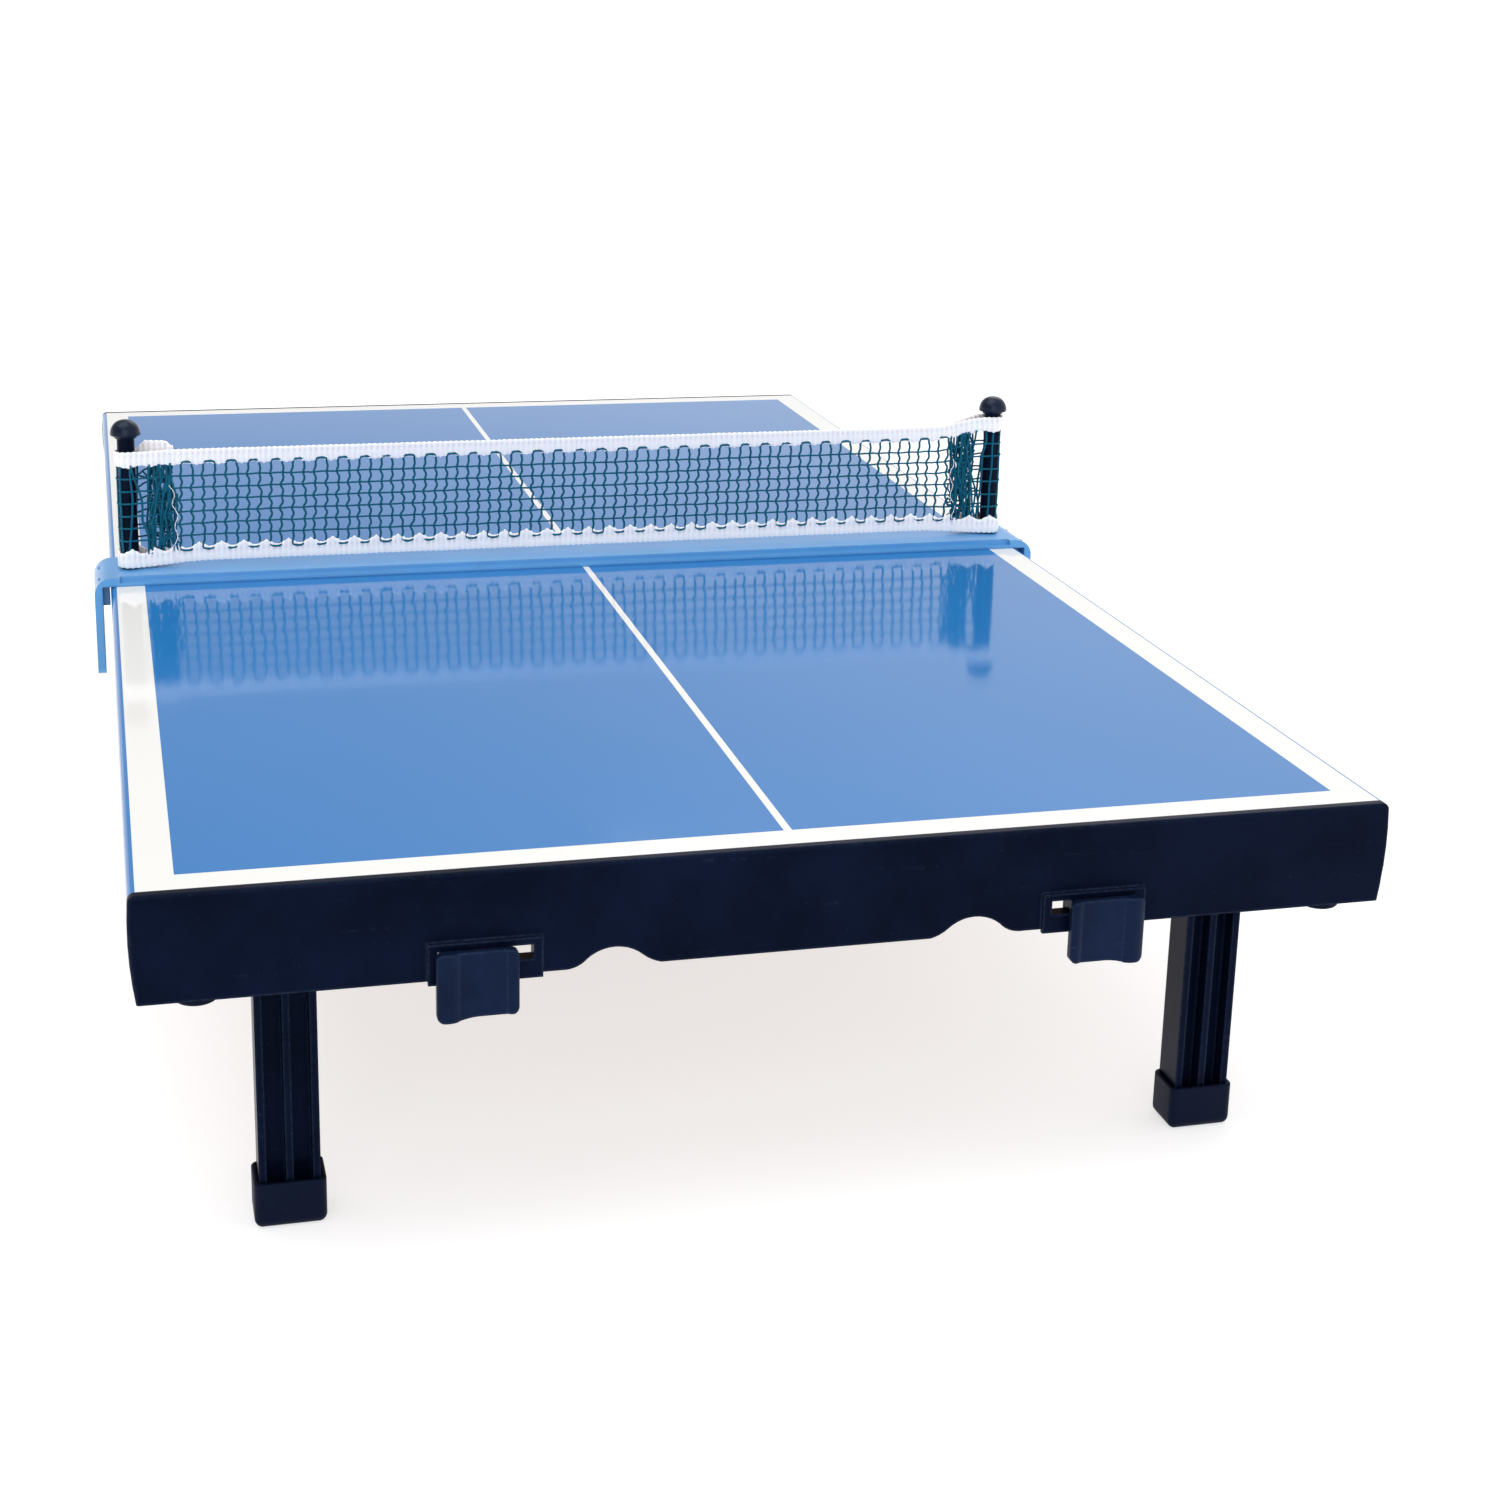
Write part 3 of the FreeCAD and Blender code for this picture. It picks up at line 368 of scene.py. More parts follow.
def lacquered_board(name, board, end_y, inward, lines, colours):
    """Blue lacquer with painted lines on the face, dark specks on the rounded edge, bare fibre below."""
    material, tree, shader = new_finish(name, {"IOR": 1.5})
    low, high = corners(board)
    where = place(tree)
    split = node(tree, "ShaderNodeSeparateXYZ", None, {0: where})
    across = maths(tree, "ABSOLUTE", split.outputs["X"])
    along = maths(tree, "MULTIPLY_ADD", split.outputs["Y"], inward, -inward * end_y)
    half = high[0]
    outer = half - lines.inset
    soft = 0.00006
    face_fades, face_full = high[2] - 0.0005, high[2] - 0.0003
    fibre_fades, fibre_full = low[2] + 0.0011, low[2] + 0.0006
    rim_starts, rim_full = outer + 0.0003, half - 0.0002
    side_line = between(tree, across, outer - lines.border, outer, soft)
    end_line = maths(tree, "MULTIPLY", step_up(tree, along, lines.border + soft, lines.border - soft),
                     step_up(tree, across, outer + soft, outer - soft))
    centre_line = step_up(tree, across, lines.centre / 2 + soft, lines.centre / 2 - soft)
    painted = maths(tree, "MAXIMUM", maths(tree, "MAXIMUM", side_line, end_line), centre_line)
    face = step_up(tree, split.outputs["Z"], face_fades, face_full)
    painted = maths(tree, "MULTIPLY", painted, face)
    cloud = noise(tree, where, 9, 3)
    lacquer, board_fibre = np.array(colours.top), np.array(colours.board)
    blue = mixed(tree, cloud, rgba(lacquer * 0.94), rgba(lacquer * 1.05))
    speck = step_up(tree, noise(tree, where, 2300, 2, 0.6), 0.56, 0.66)
    patch = step_up(tree, noise(tree, where, 260, 3, 0.6), 0.42, 0.62)
    rim = step_up(tree, across, rim_starts, rim_full)
    worn = maths(tree, "MULTIPLY", maths(tree, "MULTIPLY", speck, patch),
                 maths(tree, "MULTIPLY", rim, 0.55))
    blue = mixed(tree, worn, blue, rgba(lacquer * 0.45))
    top = mixed(tree, painted, blue, rgba(colours.line))
    fibre = step_up(tree, noise(tree, place(tree, (1, 1.6, 6)), 420, 5, 0.75), 0.3, 0.7)
    bare = mixed(tree, fibre, rgba(board_fibre * 0.6), rgba(board_fibre * 1.3))
    under = step_up(tree, split.outputs["Z"], fibre_fades, fibre_full)
    tree.links.new(mixed(tree, under, top, bare), shader.inputs["Base Color"])
    smear = noise(tree, place(tree, (30, 7, 30)), 1, 4, 0.6)
    gloss = maths(tree, "MULTIPLY_ADD", smear, 0.06, 0.045)
    scratch = step_up(tree, noise(tree, place(tree, (900, 35, 900)), 1, 2, 0.5), 0.68, 0.74)
    gloss = maths(tree, "MULTIPLY_ADD", scratch, 0.06, gloss)
    gloss = maths(tree, "MULTIPLY_ADD", worn, 0.4, gloss)
    rough = maths(tree, "MAXIMUM", gloss, maths(tree, "MULTIPLY", under, 0.85))
    tree.links.new(rough, shader.inputs["Roughness"])
    peel = noise(tree, place(tree, (1, 0.55, 1)), 210, 2, 0.45)
    relief = bump(tree, peel, 0.16, 0.00010)
    relief = bump(tree, painted, 0.15, 0.00004, relief)
    rough_skin = maths(tree, "MULTIPLY", fibre, under)
    tree.links.new(bump(tree, rough_skin, 0.6, 0.0002, relief), shader.inputs["Normal"])
    return material


def moulded_plastic(name, base, roughness, grain=0.25, scuffs=1.0, edge_wear_and_highlight=0.6,
                    gleam=(0.08, (0.27, 0.44, 1.0)), mottle=(0.62, 1.35)):
    """Injection moulded plastic: fine grain, slow gloss changes, long scuffs and paler edges, which are
    partly rubbed wear and partly a painted highlight.

    scuffs scales the scuffs and the dust, and the argument after it the pale edges, partly rubbed wear and
    partly a painted highlight. gleam is the strength and the tint of the reflections. mottle is the darkest
    and the lightest share of the base colour.
    """
    level, tint = gleam
    material, tree, shader = new_finish(name, {"IOR": 1.5, "Specular IOR Level": level,
                                               "Specular Tint": rgba(tint)})
    where = place(tree)
    base = np.array(base)
    cloud = step_up(tree, noise(tree, where, 34, 5, 0.65), 0.3, 0.7)
    skin = mixed(tree, cloud, rgba(base * mottle[0]), rgba(base * mottle[1]))
    streak = noise(tree, place(tree, (26, 26, 420)), 1, 3, 0.65)
    drag = noise(tree, place(tree, (420, 420, 60)), 1, 2, 0.5)
    scuff = maths(tree, "MULTIPLY", step_up(tree, streak, 0.6, 0.74), step_up(tree, drag, 0.45, 0.62))
    edge_radius = 0.001
    rounded = node(tree, "ShaderNodeBevel", {"samples": 4}, {"Radius": edge_radius})
    flat = node(tree, "ShaderNodeNewGeometry").outputs["Normal"]
    turned = node(tree, "ShaderNodeVectorMath", {"operation": "DOT_PRODUCT"},
                  {0: rounded.outputs[0], 1: flat})
    # Edge mask from the Bevel node: the paler colour along edges is partly rubbed wear and partly a painted
    # highlight.
    edge = step_up(tree, turned.outputs["Value"], 0.992, 0.90)
    nick = step_up(tree, noise(tree, where, 900, 3, 0.6), 0.40, 0.62)
    rubbed_and_highlit_edge = maths(tree, "MULTIPLY", edge, maths(tree, "MULTIPLY_ADD", nick, 0.6, 0.3))
    pale = rgba(base * 0.8 + np.array([0.030, 0.045, 0.085]))
    skin = mixed(tree, maths(tree, "MULTIPLY", scuff, 0.35 * scuffs), skin, pale)
    dust = step_up(tree, noise(tree, where, 1500, 1, 0.5), 0.80, 0.84)
    # Paler colour on the edges, broken up by nicks: rubbed wear together with a painted highlight.
    skin = mixed(tree, maths(tree, "MULTIPLY", rubbed_and_highlit_edge, edge_wear_and_highlight), skin, pale)
    skin = mixed(tree, maths(tree, "MULTIPLY", dust, 0.7 * scuffs), skin,
                 rgba(base + np.array([0.09, 0.11, 0.14])))
    tree.links.new(skin, shader.inputs["Base Color"])
    slow = noise(tree, where, 70, 3, 0.6)
    rough = maths(tree, "MULTIPLY_ADD", slow, 0.16, roughness - 0.08)
    rough = maths(tree, "MULTIPLY_ADD", scuff, 0.12 * scuffs, rough)
    tree.links.new(rough, shader.inputs["Roughness"])
    relief = bump(tree, noise(tree, where, 2600, 2, 0.5), grain, 0.00005, rounded.outputs[0])
    wave = noise(tree, where, 45, 1, 0.4)
    tree.links.new(bump(tree, wave, 0.25, 0.0003, relief), shader.inputs["Normal"])
    return material


def rubber(name, base):
    """Matt rubber with a fine pitted skin and dust in it."""
    material, tree, shader = new_finish(name, {"IOR": 1.45, "Specular IOR Level": 0.15,
                                               "Specular Tint": rgba((0.4, 0.55, 1.0))})
    where = place(tree)
    base = np.array(base)
    dust = step_up(tree, noise(tree, where, 420, 4, 0.65), 0.52, 0.75)
    skin = mixed(tree, maths(tree, "MULTIPLY", dust, 0.25), rgba(base),
                 rgba(base * 0.8 + np.array([0.010, 0.014, 0.022])))
    tree.links.new(skin, shader.inputs["Base Color"])
    tree.links.new(maths(tree, "MULTIPLY_ADD", dust, 0.2, 0.5), shader.inputs["Roughness"])
    pits = noise(tree, where, 3200, 3, 0.6)
    tree.links.new(bump(tree, pits, 0.4, 0.00008), shader.inputs["Normal"])
    return material


def plated_steel(name, base, stretch):
    """Zinc plated steel with drawing marks along one axis and dull patches."""
    material, tree, shader = new_finish(name, {"Metallic": 1.0})
    base = np.array(base)
    patch = noise(tree, place(tree), 320, 4, 0.6)
    drawn = noise(tree, place(tree, stretch), 1, 3, 0.6)
    skin = mixed(tree, patch, rgba(base * 0.72), rgba(base))
    tree.links.new(skin, shader.inputs["Base Color"])
    rough = maths(tree, "MULTIPLY_ADD", patch, 0.22, 0.22)
    tree.links.new(rough, shader.inputs["Roughness"])
    tree.links.new(bump(tree, drawn, 0.25, 0.00003), shader.inputs["Normal"])
    return material


def net_yarn(name, base):
    """Twisted synthetic yarn: fine slanting fibres and lighter worn threads."""
    material, tree, shader = new_finish(name, {"Sheen Weight": 0.04, "Sheen Roughness": 0.4,
                                               "IOR": 1.45, "Specular IOR Level": 0.2})
    base = np.array(base)
    fibre = noise(tree, place(tree, (1.0, 1.0, 0.55)), 5200, 3, 0.6)
    faded = noise(tree, place(tree), 160, 3, 0.6)
    skin = mixed(tree, fibre, rgba(base * 0.55), rgba(base * 1.35))
    skin = mixed(tree, maths(tree, "MULTIPLY", step_up(tree, faded, 0.5, 0.75), 0.35), skin,
                 rgba(base * 1.3 + np.array([0.010, 0.03, 0.03])))
    tree.links.new(skin, shader.inputs["Base Color"])
    tree.links.new(maths(tree, "MULTIPLY_ADD", fibre, 0.25, 0.5), shader.inputs["Roughness"])
    tree.links.new(bump(tree, fibre, 0.7, 0.00012), shader.inputs["Normal"])
    return material


def knitted_cotton(name, base):
    """White knitted cotton: fine loops, and painted shade in the hollows that the mesh marks."""
    material, tree, shader = new_finish(
        name, {"Sheen Weight": 0.3, "Sheen Roughness": 0.5, "Subsurface Weight": 0.12,
               "Subsurface Scale": 0.001, "IOR": 1.4})
    base = np.array(base)
    hollow = node(tree, "ShaderNodeAttribute", {"attribute_name": "hollow"}).outputs["Fac"]
    fibre = noise(tree, place(tree, (1.0, 1.0, 0.6)), 4200, 3, 0.65)
    # Painted shade: the white yarn is darkened where the mesh marks a hollow; the same darker colour also
    # gives the fibres a random tone.
    hollow_shade_and_fibre_tone = rgba(base * np.array([0.52, 0.50, 0.60]))
    skin = mixed(tree, maths(tree, "MULTIPLY", hollow, 0.42), rgba(base), hollow_shade_and_fibre_tone)
    skin = mixed(tree, maths(tree, "MULTIPLY", step_up(tree, fibre, 0.35, 0.2), 0.4), skin, hollow_shade_and_fibre_tone)
    tree.links.new(skin, shader.inputs["Base Color"])
    tree.links.new(maths(tree, "MULTIPLY_ADD", fibre, 0.15, 0.75), shader.inputs["Roughness"])
    tree.links.new(bump(tree, fibre, 0.8, 0.0002), shader.inputs["Normal"])
    return material


# Shapes of the net -------------------------------------------------------------------------------

class PlanLine:
    """Line of the net seen from above, read by the distance along it from the net's middle.

    Each end is a run from the seam to the post, half a turn round it and a run back behind. clear is the
    line's distance from the post, and ply its distance from the post's middle at the seam.
    """

    def __init__(self, sleeve, clear, ply):
        low, high = corners("right_net_post")
        centre = (low + high) / 2
        radius = (high[0] - low[0]) / 2 + clear
        turn = np.linspace(-math.pi / 2, math.pi / 2, 33)
        arc = np.stack([centre[0] + radius * np.cos(turn), centre[1] + radius * np.sin(turn)], axis=-1)
        seam = centre[0] - sleeve
        front = [[seam, centre[1] - ply]]
        back = [[seam, centre[1] + ply]]
        right = np.concatenate([front, arc, back])
        left = right[::-1] * np.array([-1, 1])
        self.points = np.concatenate([left, right])
        steps = np.linalg.norm(np.diff(self.points, axis=0), axis=1)
        self.reach = float(steps.sum() / 2)
        self.along = np.concatenate([[0], np.cumsum(steps)]) - self.reach
        self.seam = seam
        self.post = centre[0]
        self.run = float(np.interp(seam, self.points[len(left) - 1:len(left) + 1, 0],
                                   self.along[len(left) - 1:len(left) + 1]))

    def x(self, s):
        """Place across the table at distance s."""
        return np.interp(s, self.along, self.points[:, 0])

    def y(self, s):
        """Place along the table at distance s."""
        return np.interp(s, self.along, self.points[:, 1])

    def outward(self, s):
        """Unit direction away from the sleeves' inside, square to the line."""
        step = 0.0004
        never_zero = 1e-12
        dx = self.x(s + step) - self.x(s - step)
        dy = self.y(s + step) - self.y(s - step)
        length = np.hypot(dx, dy) + never_zero
        return dy / length, -dx / length

    def at(self, s, z, out=0.0):
        """Points at distances s and heights z, moved out from the line."""
        nx, ny = self.outward(s)
        return np.stack([self.x(s) + nx * out, self.y(s) + ny * out, z + 0 * s], axis=-1)


def tape_lift(plan, s):
    """The bottom tape lies on the bar at the posts and rides a little above it between them."""
    return 0.0011 * eased(plan.post - np.abs(plan.x(s)), 0.004, 0.030)


def top_rise(plan, s):
    """The top tape climbs towards the right post's cap, and its tail stands up behind the left sleeve."""
    climb = 0.0036 * eased(plan.x(s), plan.seam - 0.008, plan.post - 0.003)
    tail = 0.0028 * eased(-s, plan.reach - 0.0132, plan.reach - 0.0095) * (
        1 - 0.6 * eased(-s, plan.reach - 0.0030, plan.reach - 0.0002))
    return climb + tail


def wobble(s, phase):
    """Slow uneven waves: three sines whose lengths don't divide each other."""
    return (np.sin(s * 171 + phase) + 0.6 * np.sin(s * 389 + 2.1 * phase)
            + 0.4 * np.sin(s * 883 + phase)) / 2


def tape_mesh(plan, low_z, high_z, sizes, raise_by, scallop, phase):
    """Knitted tape along the plan line.

    Across it is a flattened ring: height times sin^0.6 and thickness times cos^0.5. Along it a cosine of
    the rib pitch swells it into ribs, and a dip above its middle makes the row of holes. The scallop is the
    height of a peak over every second cell, on the upper edge, or on the lower one where it is negative.
    Returns points, faces and how hollow each point is, which sets how much painted shade the tape gets
    there.
    """
    columns, steps_per_rib = 24, 8
    hole_height, hole_width = 0.42, 0.16
    s = np.arange(-plan.reach, plan.reach, sizes.rib / steps_per_rib)
    turn = TAU * np.arange(columns) / columns
    upright = np.sign(np.sin(turn)) * np.abs(np.sin(turn)) ** 0.6
    thick = np.sign(np.cos(turn)) * np.abs(np.cos(turn)) ** 0.5
    rib = 0.5 + 0.5 * np.cos(TAU * (s + 0.00012 * wobble(s, phase)) / sizes.rib)
    rib = rib[:, None] ** 0.8
    band = np.exp(-((upright[None, :] - hole_height) / hole_width) ** 2)
    swell = (0.52 + 0.48 * rib) * (1 - 0.5 * band * (1 - rib))
    tent = 1 - 2 * np.abs(((s / (2 * sizes.cell)) % 1) - 0.5)
    lift = scallop * tent ** 1.25
    half = (high_z - low_z) / 2
    middle = (high_z + low_z) / 2 + raise_by(plan, s)
    edge = np.clip(np.abs(upright) - 0.75, 0, 1)[None, :] * 4 * np.sign(upright)[None, :]
    height = upright[None, :] * half + edge * (0.00022 * rib - 0.00012)
    height = height + np.clip(upright * np.sign(scallop), 0, 1)[None, :] * (
        lift + 0.00015 * wobble(s, phase + 2))[:, None]
    out = thick[None, :] * sizes.tape / 2 * swell + 0.00025 * wobble(s, phase + 1)[:, None]
    nx, ny = plan.outward(s)
    grid = np.stack([plan.x(s)[:, None] + nx[:, None] * out, plan.y(s)[:, None] + ny[:, None] * out,
                     middle[:, None] + height], axis=-1)
    # Mask for painted shade: highest between the ribs and along the row of holes.
    hollow = np.clip((1 - rib) * (0.35 + 0.65 * band), 0, 1)
    points, faces = closed_grid(grid)
    return points, faces, np.concatenate([hollow.ravel(), [0.5, 0.5]])


def cross_threads(plan, heights, sizes, rng):
    """Level threads, one at each height, along the whole plan line with a slight sway."""
    end_gap, sway, weave, jitter = 0.0004, 0.00012, 0.00022, 0.00003
    s = np.linspace(-plan.reach + end_gap, plan.reach - end_gap, 900)
    low, high = net_edges(plan, s)
    paths = []
    for index, share in enumerate(heights):
        z = low + (high - low) * share + sway * wobble(s, 3.0 * index) + rng.normal(0, jitter, len(s))
        out = weave * np.sin(TAU * s / (2 * sizes.cell) + math.pi * index)
        paths.append(plan.at(s, z, out))
    return thread_tubes(np.array(paths), sizes.thread * 0.40, np.array([0.0, 0.0, 1.0]), sides=6)


def net_edges(plan, s):
    """Heights where the net goes into its bottom and top tapes."""
    low = corners("net_mesh")[0][2] + tape_lift(plan, s)
    high = corners("net_mesh")[1][2] + top_rise(plan, s)
    return low, high


def loop_threads(plan, sizes, rng):
    """Upright threads in closed pairs.

    A loop runs up one upright, over in half a turn inside the top tape, down the next upright and back in
    the bottom tape. At each cross thread the uprights step a little to one side or the other.
    """
    seam_gap, jitter, side_step, slope = 0.001, 0.00020, 0.00022, 0.0009
    bow, overlap, tuck, waver = 0.00042, 0.0009, 0.0006, 0.00010
    pitch = 2 * sizes.cell
    count = int((plan.seam - seam_gap) / pitch)
    centres = pitch * np.arange(-count, count + 1)
    rows = sizes.cross_threads + 1
    share = np.linspace(0, 1, 5 * rows + 1)
    knots = np.linspace(0, 1, rows + 1)
    paths = []
    for centre in centres:
        sides = []
        for sign in (-1, 1):
            lean = rng.normal(0, jitter, rows + 1) + sign * side_step * (-1) ** np.arange(rows + 1)
            lean[[0, -1]] *= 0.4
            slant = bow * np.sin(TAU * (share * rows - 0.25)) * np.sin(math.pi * share) ** 0.5
            offset = np.interp(share, knots, lean) + slant + slope * (share - 0.5)
            sides.append(centre + sign * sizes.cell / 2 + offset)
        low, high = net_edges(plan, np.full_like(share, centre))
        z = low + (high - low) * share
        turn = np.linspace(0, math.pi, 7)[1:-1]
        top = (sides[0][-1] + sides[1][-1]) / 2
        top_half = (sides[1][-1] - sides[0][-1]) / 2
        bottom = (sides[0][0] + sides[1][0]) / 2
        bottom_half = (sides[1][0] - sides[0][0]) / 2
        s = np.concatenate([sides[0], top - top_half * np.cos(turn),
                            sides[1][::-1], bottom + bottom_half * np.cos(turn)])
        arch = overlap * np.sin(turn) ** 0.6
        height = np.concatenate([z, z[-1] + arch, z[::-1], z[0] - arch])
        into = np.concatenate([0 * z, tuck * np.sin(turn), 0 * z, tuck * np.sin(turn)])
        paths.append(plan.at(s, height, into + waver * np.cos(s * 2600)))
    return thread_tubes(np.array(paths), sizes.thread / 2, np.array([0.0, 1.0, 0.0]), closed=True)


def sleeve_threads(plan, sizes, rng):
    """Threads of the two sleeves: uprights that wander as a smoothed random walk.

    They stand close together in both plies at the seam and further apart round the post.
    """
    count = 22
    edge, crowd, close, far = 0.0004, 0.0092, 0.00075, 0.0036
    share = np.linspace(0, 1, count)
    plies = np.concatenate([np.arange(plan.run + edge, plan.run + crowd, close),
                            np.arange(plan.run + 0.0118, plan.reach - 0.0110, far),
                            np.arange(plan.reach - crowd, plan.reach - edge, close)])
    paths = []
    for start in np.concatenate([-plies, plies]):
        walk = np.cumsum(rng.normal(0, 0.00055, count))
        walk = np.convolve(np.pad(walk - walk.mean(), 2, mode="edge"), np.ones(5) / 5, mode="valid")
        away = np.abs(np.abs(start) - (plan.run + plan.reach) / 2)
        loose = eased(away, 0.005, 0.010)
        walk = walk * (0.25 + 0.75 * loose)
        s = np.clip(start + walk, -plan.reach + 0.0003, plan.reach - 0.0003)
        low, high = net_edges(plan, s)
        z = low - 0.0006 + (high - low + 0.0012) * share
        out = loose * np.convolve(np.pad(rng.normal(0, 0.0007, count), 1, mode="edge"), np.ones(3) / 3,
                                  mode="valid")
        paths.append(plan.at(s, z, out))
    return thread_tubes(np.array(paths), sizes.thread / 2, np.array([0.31, 0.95, 0.0]))


def sleeve_tangles(plan, sizes, rng):
    """Short slanting threads pulled across the sleeves' plies, each a gentle arc."""
    number, count = 150, 10
    share = np.linspace(0, 1, count)[None, :]
    side = np.where(np.arange(number) % 2 == 0, 1.0, -1.0)[:, None]
    ply = np.where(np.arange(number) % 4 < 2, 0.0, 1.0)[:, None]
    near = plan.run + rng.uniform(0.0, 0.0086, (number, 1))
    near = np.where(ply > 0, plan.reach - (near - plan.run), near)
    reach = rng.uniform(-0.0036, 0.0020, (number, 1))
    s = side * np.clip(near + reach * share, plan.run - 0.0008, plan.reach - 0.0003)
    low, high = net_edges(plan, s)
    start = rng.uniform(0.02, 0.75, (number, 1))
    z = low + (high - low) * np.clip(start + rng.uniform(-0.03, 0.14, (number, 1)) * share, 0, 1)
    out = rng.uniform(-0.0010, 0.0010, (number, 1)) * np.sin(math.pi * share)
    paths = plan.at(s.ravel(), z.ravel(), out.ravel()).reshape(number, count, 3)
    return thread_tubes(paths, sizes.thread * 0.42, np.array([0.2, 0.97, 0.1]))


def seam_stitches(plan):
    """White sewing thread down each seam: a slow zigzag that drifts, with a loose end at the foot."""
    radius, inset, zigzag, drift = 0.00014, 0.0008, 0.0007, 0.0009
    below, short, proud, weave = 0.0042, 0.003, 0.0010, 0.0003
    share = np.linspace(0, 1, 72)
    paths = []
    for side in (-1, 1):
        s = side * (plan.run + inset) + zigzag * np.sin(share * TAU * 3.5 + 1)
        s = s + drift * np.sin(share * 5.1 + side)
        low, high = net_edges(plan, s)
        z = low - below + (high - low - short) * share
        paths.append(plan.at(s, z, proud + weave * np.cos(share * TAU * 13)))
    return thread_tubes(np.array(paths), radius, np.array([0.0, 1.0, 0.0]))


# Other shapes ------------------------------------------------------------------------------------

def revolved(profile, centre, columns=64):
    """Surface of a profile of (radius, height) pairs turned about an upright line through centre."""
    turn = TAU * np.arange(columns) / columns
    radius = profile[:, 0][:, None]
    grid = np.stack([centre[0] + radius * np.cos(turn), centre[1] + radius * np.sin(turn),
                     centre[2] + profile[:, 1][:, None] + 0 * turn], axis=-1)
    return closed_grid(grid)


def rounded_section(half_x, half_y, corner, inset, steps=8):
    """Rectangle with round corners, set in by inset.

    It is each corner's centre plus what is left of its radius along a quarter turn.
    """
    quarter = np.linspace(0, math.pi / 2, steps)
    turn = (quarter[None, :] + math.pi / 2 * np.arange(4)[:, None]).ravel()
    sign_x = np.repeat([1, -1, -1, 1], steps)
    sign_y = np.repeat([1, 1, -1, -1], steps)
    left = np.maximum(corner - inset, corner * 0.12)
    x = sign_x * (half_x - inset - left) + left * np.cos(turn)
    y = sign_y * (half_y - inset - left) + left * np.sin(turn)
    return x, y


def cup_mesh(low, high, wall, floor, corner, bottom_round):
    """Open cup with a rounded rectangular plan.

    Its section is carried along a profile that runs from the middle of the inner floor up the inner wall,
    over the rim, down the outside and under to the middle.
    """
    half = (high - low) / 2
    centre = (high + low) / 2
    rim = wall * 0.42
    arc = np.linspace(0, math.pi / 2, 7)
    deep = min(half[0], half[1]) * 0.97
    tall = high[2] - low[2]
    inset = np.concatenate([
        [deep, wall + rim], [wall + 0.1 * rim], [wall], wall - rim * (1 - np.cos(arc)),
        rim * (1 - np.sin(arc)), [0.0, 0.0],
        bottom_round * (1 - np.cos(arc)), [bottom_round * 1.6, deep]])
    height = np.concatenate([
        [floor, floor], [floor + 0.1 * rim], [tall - rim], tall - rim + rim * np.sin(arc),
        tall - rim + rim * np.cos(arc), [tall - rim * 1.2, bottom_round * 1.1],
        bottom_round * (1 - np.sin(arc)), [0.0, 0.0]])
    rows = [rounded_section(half[0], half[1], corner, value) for value in inset]
    x = np.array([row[0] for row in rows])
    y = np.array([row[1] for row in rows])
    grid = np.stack([centre[0] + x, centre[1] + y, low[2] + height[:, None] + 0 * x], axis=-1)
    return closed_grid(grid[::-1])


# Operators ---------------------------------------------------------------------------------------

class TTABLE_OT_boards(bpy.types.Operator):
    """Lacquer and painted lines of the two boards"""
    bl_idname = "ttable.boards"
    bl_label = "Boards"

    def execute(self, context):
        scene = context.scene
        near_end = corners("near_board")[0][1]
        far_end = corners("far_board")[1][1]
        for half, end_y, inward in (("near", near_end, 1.0), ("far", far_end, -1.0)):
            board = half + "_board"
            wears([board], lacquered_board(board + "_lacquer", board, end_y, inward,
                                           scene.ttable_lines, scene.ttable_colours))
        return {"FINISHED"}


class TTABLE_OT_rails(bpy.types.Operator):
    """Moulded plastic of the end rails, seam rails and leg brackets"""
    bl_idname = "ttable.rails"
    bl_label = "Rails"

    def execute(self, context):
        plastic = moulded_plastic("rail_plastic", context.scene.ttable_colours.frame, 0.36, scuffs=0.45,
                                  edge_wear_and_highlight=0.9)
        wears([half + part for half in HALVES for part in ("_end_rail", "_seam_rail")], plastic)
        wears([f"{half}_{side}_leg_bracket" for half in HALVES for side in SIDES], plastic)
        return {"FINISHED"}


class TTABLE_OT_legs(bpy.types.Operator):
    """Moulded plastic of the legs"""
    bl_idname = "ttable.legs"
    bl_label = "Legs"

    def execute(self, context):
        plastic = moulded_plastic("leg_plastic", context.scene.ttable_colours.frame, 0.32, grain=0.15)
        wears([f"{half}_{side}_leg" for half in HALVES for side in SIDES], plastic)
        return {"FINISHED"}


class TTABLE_OT_feet(bpy.types.Operator):
    """Soft foot caps with rounded corners, and the round bumper pads"""
    bl_idname = "ttable.feet"
    bl_label = "Feet and pads"

    def execute(self, context):
        colours = context.scene.ttable_colours
        skin = rubber("foot_rubber", np.array(colours.frame) * 1.05)
        for half in HALVES:
            for side in SIDES:
                name = f"{half}_{side}_foot_cap"
                low, high = corners(name)
                points, faces = cup_mesh(low, high, wall=0.0014, floor=0.002, corner=0.0021,
                                         bottom_round=0.0024)
                cap = new_piece(name + "_soft", points, faces, f"{half}_{side}_leg_set",
                                skin)
                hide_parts(name)
        pad = rubber("pad_rubber", np.array(colours.frame) * 0.8)
        wears([half + "_bumper_pads" for half in HALVES], pad)
        return {"FINISHED"}


class TTABLE_OT_clips(bpy.types.Operator):
    """Moulded plastic of the sliding clips"""
    bl_idname = "ttable.clips"
    bl_label = "Clips"

    def execute(self, context):
        plastic = moulded_plastic("clip_plastic", context.scene.ttable_colours.clip, 0.30, edge_wear_and_highlight=0.8,
                                  gleam=(0.12, (0.38, 0.54, 1.0)))
        wears([f"{side}_{part}" for side in SIDES for part in ("clip", "clip_keeper")], plastic)
        return {"FINISHED"}


